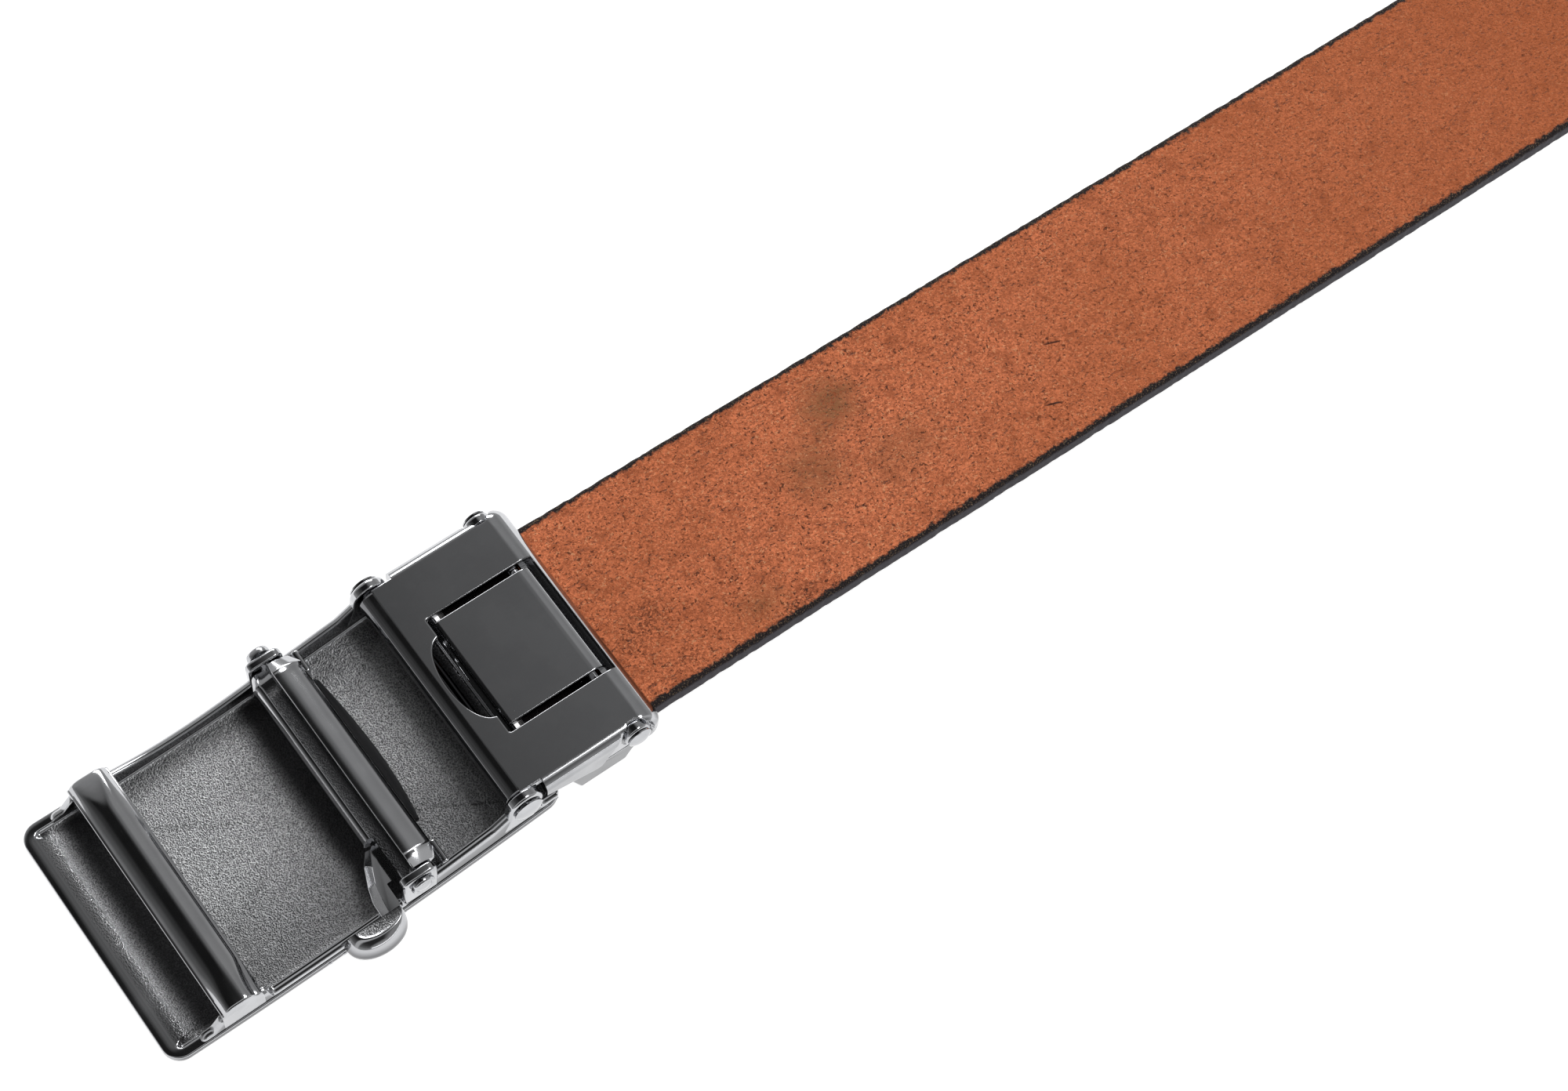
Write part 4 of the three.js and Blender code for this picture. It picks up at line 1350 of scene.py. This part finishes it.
@dataclass
class Clamp:
    """The folded channel with its window and thumb notch, the knuckle, the jaw and the flap."""

    half_width: float = 20.6
    top: float = 13.9
    sheet: float = 1.2
    fold: float = 1.8
    right: float = 23.7
    right_fold: float = 3.6
    wall_bottom: float = 8.4
    wall_left_bottom: float = 10.7
    wall_deep_x: float = 12.0
    end_bottom: float = 9.1
    wall_start: float = 3.5
    knuckle_half: float = 18.8
    hinge_z: float = 11.6
    knuckle_radius: float = 2.3
    window_left: float = 3.95
    window_right: float = 22.2
    window_half: float = 10.65
    notch_half: float = 7.4
    notch_depth: float = 3.35
    flap_axis: Pair = (19.15, 11.5)
    edge_round: float = 0.2
    count: Stretches = Stretches()

    @property
    def fold_x(self) -> float:
        """Where the flat top ends and the right fold begins."""
        return self.right - self.right_fold

    def roof(self, x: Array) -> Array:
        """Height of the top: flat, and round over the right fold."""
        out = np.clip(x - self.fold_x, 0, self.right_fold)
        return self.top - self.right_fold + np.sqrt(self.right_fold**2 - out**2)

    def rim_of_window(self) -> tuple[Array, Array]:
        """Half of the window's outline, from its right middle to its left middle, in matching order.

        It goes up the right edge, back along the far edge, round the corner, down the left edge and
        along the notch, which is a half oval of the notch's depth and half width.

        Returns:
            The outline's points, and the direction from each into the metal.
        """
        n, fold_x, side = self.count, self.fold_x, self.window_half
        corner_end, bend_round, notch_from = fold_x - 0.8, 0.35, 7.75
        up = np.stack([np.full(n.up, self.window_right), np.linspace(0, side, n.up)], -1)
        lap = stretch((self.window_right, fold_x), (side, side), n.lap)
        corner = stretch((fold_x, corner_end), (side, side), n.corner)
        far = stretch((corner_end, 4.6), (side, side), n.far)
        bend = arc((4.3, side - bend_round), bend_round, 90, 180, n.bend)[1:]
        left = stretch((self.window_left, self.window_left), (side - bend_round, notch_from), n.left)
        shoulder = arc((3.6, notch_from), bend_round, 0, -78, n.shoulder)[1:]
        angle = np.radians(np.linspace(97, 180, n.notch))
        notch = np.stack([self.window_left + self.notch_depth * np.cos(angle), self.notch_half * np.sin(angle)], -1)
        rim = np.vstack([up, lap, corner, far, bend, left, shoulder, notch])
        along = np.gradient(rim, axis=0)
        along /= np.maximum(np.linalg.norm(along, axis=1, keepdims=True), 1e-9)
        return rim, np.stack([along[:, 1], -along[:, 0]], -1)

    def outer_half(self) -> tuple[Array, Array, Array, Array]:
        """Where each point of the half window belongs at the channel's folds.

        Returns:
            The foot of the fold in plan, the fold's direction, its radius, and the wall's lower edge.
        """
        n, fold_x, fold_y = self.count, self.fold_x, self.half_width - self.fold
        past_wall, level = 14, 8
        rest = n.bend + n.left + n.shoulder + n.notch
        up = np.stack([np.full(n.up, fold_x), np.linspace(0, self.window_half, n.up)], -1)
        lap = stretch((fold_x, fold_x), (self.window_half, fold_y), n.lap)
        corner = np.tile([[fold_x, fold_y]], (n.corner, 1))
        wall = stretch((fold_x, self.wall_start + 0.02), (fold_y, fold_y), n.far - past_wall)
        past = np.stack([np.linspace(3.48, 2.6, past_wall), np.full(past_wall, fold_y)], -1)
        far_x = np.concatenate([wall[:, 0], past[:, 0]])
        left = stretch((2.6, 0), (fold_y, fold_y), level)
        end = stretch((0, 0), (fold_y, 0), rest - level)
        foot = np.vstack([up, lap, corner, wall, past, left, end])
        degrees = np.concatenate([np.zeros(n.up + n.lap), np.linspace(0, 90, n.corner + 1)[1:],
                                  np.full(n.far + level, 90), np.full(rest - level, 180)])
        heading = np.stack([np.cos(np.radians(degrees)), np.sin(np.radians(degrees))], -1)
        blend = smooth_step(degrees[:n.up + n.lap + n.corner], 0, 90)
        radius = np.concatenate([self.right_fold * (1 - blend) + self.fold * blend,
                                 np.where(far_x > self.wall_start, self.fold, 0.3),
                                 np.full(level, 0.3), np.full(rest - level, 0.02)])
        low_wall = np.interp(far_x, [self.wall_start, self.wall_deep_x], [self.wall_left_bottom, self.wall_bottom])
        low = np.concatenate([self.end_bottom * (1 - blend) + self.wall_bottom * blend,
                              np.where(far_x > self.wall_start, low_wall, self.top - self.sheet),
                              np.full(rest, self.top - self.sheet)])
        return foot, heading, radius, low

    def channel(self) -> Surface:
        """The folded sheet as one closed surface, with rows that run round the window.

        From the window's lower rim the rows go up over its rounded edge, out across the flat top to
        the folds, round each fold as (r sin t, r (1 - cos t)), down the walls, round their lower edge,
        and back inside at the sheet's thickness. The wall steps back behind a slanting edge, and a
        round pocket is sunk into it about the flap's pin.

        Returns:
            The closed channel.
        """
        rim, into = self.rim_of_window()
        foot, heading, radius, low = self.outer_half()
        mirror = np.array([1, -1])
        rim, into, foot, heading = (np.vstack([half, (half * mirror)[::-1][1:-1]])
                                    for half in (rim, into, foot, heading))
        radius, low = (np.concatenate([half, half[::-1][1:-1]]) for half in (radius, low))
        inwards = (rim - [11, 0])[:, :1] * into[:, :1] + rim[:, 1:] * into[:, 1:] < 0
        into = np.where(inwards, -into, into)
        soft, fold_x = self.edge_round, self.fold_x
        rows: list[Array] = []
        for t in np.linspace(0, np.pi / 2, 5):
            plan = rim + into * (soft * (1 - math.cos(t)))
            rows.append(np.column_stack([plan, self.roof(plan[:, 0]) - soft * (1 - math.sin(t))]))
        past = np.clip((rim[:, 0] - fold_x) / self.right_fold, 0, 1)
        first = np.arcsin(np.where(heading[:, 0] > 0.999, past, 0))
        turns = 11
        folded = []
        for k in range(turns + 1):
            t = first + (np.pi / 2 - first) * k / turns
            plan = foot + heading * (radius * np.sin(t))[:, None]
            folded.append(np.column_stack([plan, self.top - radius * (1 - np.cos(t))]))
        edge = rows[-1]
        rows += [edge * (1 - share) + folded[0] * share for share in (0.03, 0.34, 0.67, 0.96)] + folded
        wall = foot + heading * radius[:, None]
        fold_low = self.top - radius
        for share in np.linspace(0, 1, 15)[1:-1]:
            rows.append(np.column_stack([wall, fold_low * (1 - share) + (low + soft) * share]))
        for t in np.linspace(0, np.pi, 7):
            plan = wall - heading * soft * (1 - math.cos(t))
            rows.append(np.column_stack([plan, low + soft - soft * math.sin(t)]))
        thin = radius < 1
        inner_radius = np.maximum(radius - self.sheet, 0.0)
        inside = wall - heading * np.where(thin, 0.4, self.sheet)[:, None]
        under = self.top - self.sheet
        rows += [np.column_stack([inside, np.minimum(level, under)]) for level in (low + 0.5, fold_low)]
        for t in np.linspace(np.pi / 2, 0, 5)[1:]:
            plan = np.where(thin[:, None], inside, foot + heading * (inner_radius * math.sin(t))[:, None])
            rows.append(np.column_stack([plan, np.where(thin, under, fold_low + inner_radius * math.cos(t))]))
        rows.append(np.column_stack([rim, self.roof(rim[:, 0]) - self.sheet]))
        points = np.stack(rows)
        skin = points[10:-9]  # from the folds to the lower edge, and a view of the same points
        x, y, z = skin[..., 0], skin[..., 1], skin[..., 2]
        is_wall = smooth_step(np.abs(y), 19.3, 19.9) * smooth_step(-z, -13.7, -13.3)
        slant = 13.2 + (z - 8.7) * 0.72
        back = 0.45 * smooth_step(x - slant, -0.02, 0.14) * smooth_step(-x, -20.6, -19.8)
        pocket = 1.05 * smooth_step(-np.hypot(x - self.flap_axis[0], z - self.flap_axis[1]), -2.62, -2.42)
        sunk = np.maximum(back * is_wall, pocket * smooth_step(np.abs(y), 18.9, 19.6))
        skin[..., 1] = y - np.sign(y) * sunk
        # painted shade on the outer walls and the window's rounded rim, and a painted dark reflection on the near half
        # of the right fold's turned-down end
        shade = 0.22 * smooth_step(np.abs(points[..., 1]), 20.2, 20.5)
        shade[:4] = 0.72
        turned_down = smooth_step(points[..., 0], fold_x + 2.3, fold_x + 3.1)
        shade = np.maximum(shade, 0.85 * turned_down * smooth_step(-points[..., 1], 0, 6))
        return grid(points, rows_close=True).with_shade(shade)

    def knuckle(self) -> Surface:
        """The rolled edge round the hinge pin, sunk under the thumb notch.

        Its radius is R, less 0.55 where it would fill the notch: inside the notch's half width, and
        on the upper right.

        Returns:
            The closed roll.
        """
        end, quarter = self.knuckle_half, np.linspace(0, np.pi / 2, 5)
        edge, y_end = 0.3 * (1 - np.sin(quarter)), end - 0.3 * (1 - np.cos(quarter))
        y = np.concatenate([-y_end, np.linspace(-end + 0.5, -7.9, 6), np.linspace(-7.6, 7.6, 60),
                            np.linspace(7.9, end - 0.5, 6), y_end[::-1]])
        shrink = np.concatenate([edge, np.zeros(len(y) - 2 * len(edge)), edge[::-1]])
        angle = np.linspace(0, 2 * np.pi, 96, endpoint=False)
        degrees = np.degrees(angle)
        half = self.notch_half * np.sqrt(np.clip(1 - ((self.window_left - 1.2) / (self.notch_depth + 0.4)) ** 2, 0, 1))
        inside = smooth_step(-np.abs(y), -half - 1.6, -half - 0.6)[:, None]
        facing = (smooth_step(degrees, 5, 15) * smooth_step(-degrees, -76, -66))[None]
        radius = self.knuckle_radius - shrink[:, None] - 0.55 * inside * facing
        plan = np.stack([radius * np.cos(angle)[None], self.hinge_z + radius * np.sin(angle)[None]], -1)
        # painted shade on the roll where it shows under the thumb notch, and on its left flank
        wide = (smooth_step(degrees, -1, 1) * smooth_step(-degrees, -88, -80))[None]
        flank = smooth_step(degrees, 112, 135)[None] * 0.7
        return grid(carried(plan, y, Axis.ACROSS)).with_shade(np.maximum(0.97 * inside * wide, flank))

    def boss(self, side: Side) -> Surface:
        """The round boss about the flap's pin on one wall.

        Args:
            side: which side of the belt.

        Returns:
            The closed boss.
        """
        low, high = sorted((side.value * 19.3, side.value * 20.78))
        rounds = (0.15, 0.45) if side is Side.FAR else (0.45, 0.15)
        return prism(arc(self.flap_axis, 2.15, 0, 360, 48)[:-1], Axis.ACROSS, low, high, *rounds, steps=6)

    def jaw(self) -> Surface:
        """The lower jaw: a plate under the strap and a three-cornered cheek on each side.

        Returns:
            The three closed pieces.
        """
        corners = [(7.4, 10.0), (9.8, 4.0), (17.6, 4.0), (18.7, 6.0), (21.4, 8.3), (21.9, 9.9), (21.4, 11.6),
                   (19.6, 12.4)]
        outline = rounded(np.array(corners), np.array([0.3, 0.5, 0.6, 0.6, 0.8, 0.8, 0.8, 0.5]), 6)
        cheeks = []
        for side in Side:
            low, high = sorted((side.value * 17.8, side.value * 20.08))
            cheeks.append(prism(outline, Axis.ACROSS, low, high, 0.25, 0.25))
        plate = rounded(np.array([(9.6, 3.9), (18, 3.9), (18, 4.9), (9.6, 4.9)]), 0.25, 4)
        # painted shade over the whole jaw, which lies under the clamp
        return joined(*cheeks, prism(plate, Axis.ACROSS, -18.1, 18.1, 0.1, 0.1)).with_shade(0.6)

    def flap(self) -> Surface:
        """The lid: its side outline with the knuckle round the flap's pin, carried across.

        Returns:
            The closed lid.
        """
        (cx, cz), top = self.flap_axis, self.top
        front = [(cx - 0.4, top), (5.2, top), (4.95, top), (4.72, top - 0.05), (4.62, top - 0.2), (4.6, top - 0.4)]
        outline = np.vstack([[(4.75, top - 1.3), (cx - 1.95, top - 1.3)], arc((cx, cz), top - cz, -200, 88, 52), front])
        lid = prism(outline, Axis.ACROSS, -9.6, 9.6, 0.2, 0.2, steps=4)
        # painted shade on the lid's side edges and on its front below the top
        flanks = 0.75 * (np.abs(lid.points[:, 1]) > 9.42)
        tip = 0.9 * (lid.points[:, 0] < 5.0) * (lid.points[:, 2] < top - 0.3)
        return lid.with_shade(np.maximum(flanks, tip))

    def build(self, shop: Workshop) -> None:
        """Makes the clamp's pieces.

        Args:
            shop: what makes them.
        """
        shop.piece("clamp_channel", self.channel(), Body.STRAP, shop.polished, ("clamp_housing",), 42)
        shop.piece("clamp_knuckle", self.knuckle(), Body.STRAP, shop.polished, (), 50)
        bosses = joined(self.boss(Side.FAR), self.boss(Side.NEAR))
        shop.piece("flap_bosses", bosses, Body.STRAP, shop.polished)
        shop.piece("lower_jaw", self.jaw(), Body.STRAP, shop.polished)
        shop.piece("flap_lid", self.flap(), Body.FLAP, shop.polished, ("clamp_flap",), 40)


# ---- the studio ----


@dataclass
class SoftBox:
    """A rectangular light: where it stands, what it faces, its size and its brightness."""

    name: str
    place: Triple
    size: Pair
    brightness: float
    colour: Triple = (1, 1, 1)
    aim: Triple = (-0.07, 0, 0.005)

    def build(self) -> None:
        """Makes the light. Its power is its brightness times pi times its area."""
        data = bpy.data.lights.new(self.name, "AREA")
        data.shape = "RECTANGLE"
        data.size, data.size_y = self.size
        data.energy = self.brightness * math.pi * self.size[0] * self.size[1]
        data.color = self.colour
        lamp = bpy.data.objects.new(self.name, data)
        lamp.location = self.place
        towards = Vector(self.aim) - Vector(self.place)
        lamp.rotation_euler = towards.to_track_quat("-Z", "Y").to_euler()
        bpy.context.scene.collection.objects.link(lamp)


@dataclass
class Studio:
    """A white floor, a ceiling that is dark overhead and bright near the horizon, and the camera."""

    azimuth: float = -44.4063
    elevation: float = 63.8422
    roll: float = 8.7263
    focal: float = 72.762
    target: Pair = (58.1539, -4.3095)
    distance: float = 479.383
    along_stops: tuple[Pair, ...] = (
        (-100, 0.5), (-80, 0.3), (-64, 0.13), (-42, 0.05), (-24, 0.012), (5, 0.012), (9, 0.05), (12, 0.11),
        (14, 0.15), (17, 0.19), (30, 0.33), (60, 0.30), (80, 0.42), (100, 0.8))
    across_stops: tuple[Pair, ...] = (
        (-1.0, 0.45), (-0.96, 0.36), (-0.86, 0.03), (-0.58, 0.03), (-0.42, 0.6), (-0.24, 0.6), (-0.12, 0.0),
        (0.42, 0.0), (0.5, 0.2), (0.62, 0.38), (0.9, 0.45), (1.0, 0.6))

    def camera(self, origin: Vector) -> None:
        """Sets the camera where a pinhole fitted to the photograph's corners has it.

        Args:
            origin: the belt frame's origin in metres.
        """
        a, e, r = (math.radians(v) for v in (self.azimuth, self.elevation, self.roll))
        back = Vector((math.sin(a) * math.cos(e), -math.cos(a) * math.cos(e), math.sin(e)))
        right = Vector((math.cos(a), math.sin(a), 0))
        up = back.cross(right)
        side, top = right * math.cos(r) + up * math.sin(r), up * math.cos(r) - right * math.sin(r)
        data = bpy.data.cameras.new("camera")
        data.lens, data.sensor_width, data.clip_start = self.focal, 36, 0.01
        camera = bpy.data.objects.new("camera", data)
        target = Vector((self.target[0], self.target[1], 0))
        place = target / MM_PER_M + origin + back * self.distance / MM_PER_M
        turn = Matrix((side, top, back)).transposed().to_4x4()
        camera.matrix_world = Matrix.Translation(place) @ turn
        bpy.context.scene.collection.objects.link(camera)
        bpy.context.scene.camera = camera

    def floor(self) -> None:
        """Lays the white floor, which glows a little so that it stays white under the belt."""
        mesh = bpy.data.meshes.new("floor")
        mesh.from_pydata([(-2, -2, -2e-5), (2, -2, -2e-5), (2, 2, -2e-5), (-2, 2, -2e-5)], [], [(0, 1, 2, 3)])
        sheet = FinishSheet("white_floor")
        sheet.shader.inputs["Emission Color"].default_value = (1, 1, 1, 1)
        sheet.shader.inputs["Emission Strength"].default_value = 0.93
        mesh.materials.append(sheet.finished((0.4, 0.4, 0.4, 1), 0.0, 0.9))
        floor = bpy.data.objects.new("floor", mesh)
        bpy.context.scene.collection.objects.link(floor)

    def surroundings(self) -> None:
        """Grades the surroundings by the two angles at which a level mirror would show them.

        Along the belt the angle is atan2(x, z): white at the left, black overhead, grey where the flat
        tops look, and lighter again to the right. Across the belt, both sides brighten to white.
        """
        world = bpy.data.worlds.new("studio")
        bpy.context.scene.world = world
        world.use_nodes = True
        sheet = NodeSheet(world.node_tree)
        background = sheet.tree.nodes["Background"]
        place = sheet.node("ShaderNodeTexCoord").outputs["Generated"]
        split = sheet.node("ShaderNodeSeparateXYZ", {0: place})
        tilt = sheet.sum("ARCTAN2", split.outputs[0], split.outputs[2])
        by_length = self.graded(sheet, sheet.sum("MULTIPLY", tilt, 180 / math.pi), -100, 100, self.along_stops)
        by_width = self.graded(sheet, split.outputs[1], -1, 1, self.across_stops)
        sheet.put(background.inputs[0], sheet.sum("MAXIMUM", by_length, by_width))
        sheet.put(background.inputs[1], 1.0)

    def graded(self, sheet: NodeSheet, value: Socket, low: float, high: float, stops: tuple[Pair, ...]) -> Socket:
        """Looks a value up in a ramp of greys.

        Args:
            sheet: where the ramp is made.
            value: what is looked up.
            low: the value at the ramp's start.
            high: the value at its end.
            stops: places between low and high, each with its grey.

        Returns:
            The grey.
        """
        ramp = sheet.node("ShaderNodeValToRGB", {0: sheet.spread(value, low, high)})
        ramp.color_ramp.interpolation = "EASE"
        elements = ramp.color_ramp.elements
        for k, (place, grey) in enumerate(stops):
            share = (place - low) / (high - low)
            stop = elements[k] if k < 2 else elements.new(share)
            stop.position, stop.color = share, (grey, grey, grey, 1)
        return ramp.outputs[0]

    def lights(self) -> None:
        """Hangs the soft boxes clear of what the flat tops mirror."""
        for box in (SoftBox("key_far_right", (0.36, 0.70, 0.50), (0.60, 0.30), 8.5),
                    SoftBox("strap_top", (0.30, -0.12, 0.92), (0.34, 0.26), 10.5),
                    SoftBox("front_strip", (0.05, -0.98, 0.10), (1.1, 0.06), 2.0)):
            box.build()

    def build(self, origin: Vector) -> None:
        """Sets up the whole studio.

        Args:
            origin: the belt frame's origin in metres.
        """
        self.camera(origin)
        self.floor()
        self.surroundings()
        self.lights()
        bpy.context.scene.view_settings.view_transform = "Standard"


def main() -> None:
    """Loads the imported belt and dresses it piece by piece."""
    logging.basicConfig(level=logging.INFO, format="%(name)s: %(message)s")
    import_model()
    low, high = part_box("hinge_pin")
    origin = Vector(((low.x + high.x) / 2, (low.y + high.y) / 2, 0))
    Studio().build(origin)
    shop = Workshop(origin, PolishedGunmetal().material(), SandedGunmetal().material(), BlackSteel().material(),
                    FleshLeather(origin).material())
    plate = FacePlate()
    Strap().build(shop)
    plate.build(shop)
    BuckleFrame(plate).build(shop)
    Pawl().build(shop)
    Clamp().build(shop)
    HeadedPin("hinge_pin", 0, 11.6, 1.1, 2.3).build(shop, Body.STRAP)
    HeadedPin("flap_pin", 19.15, 11.5, 1.0, 1.9).build(shop, Body.STRAP)
    HeadedPin("pawl_pin", -17.9, 9.4, 0.9, 1.85, 1.4, ringed=True).build(shop, Body.BUCKLE)


if __name__ == "__main__":
    main()
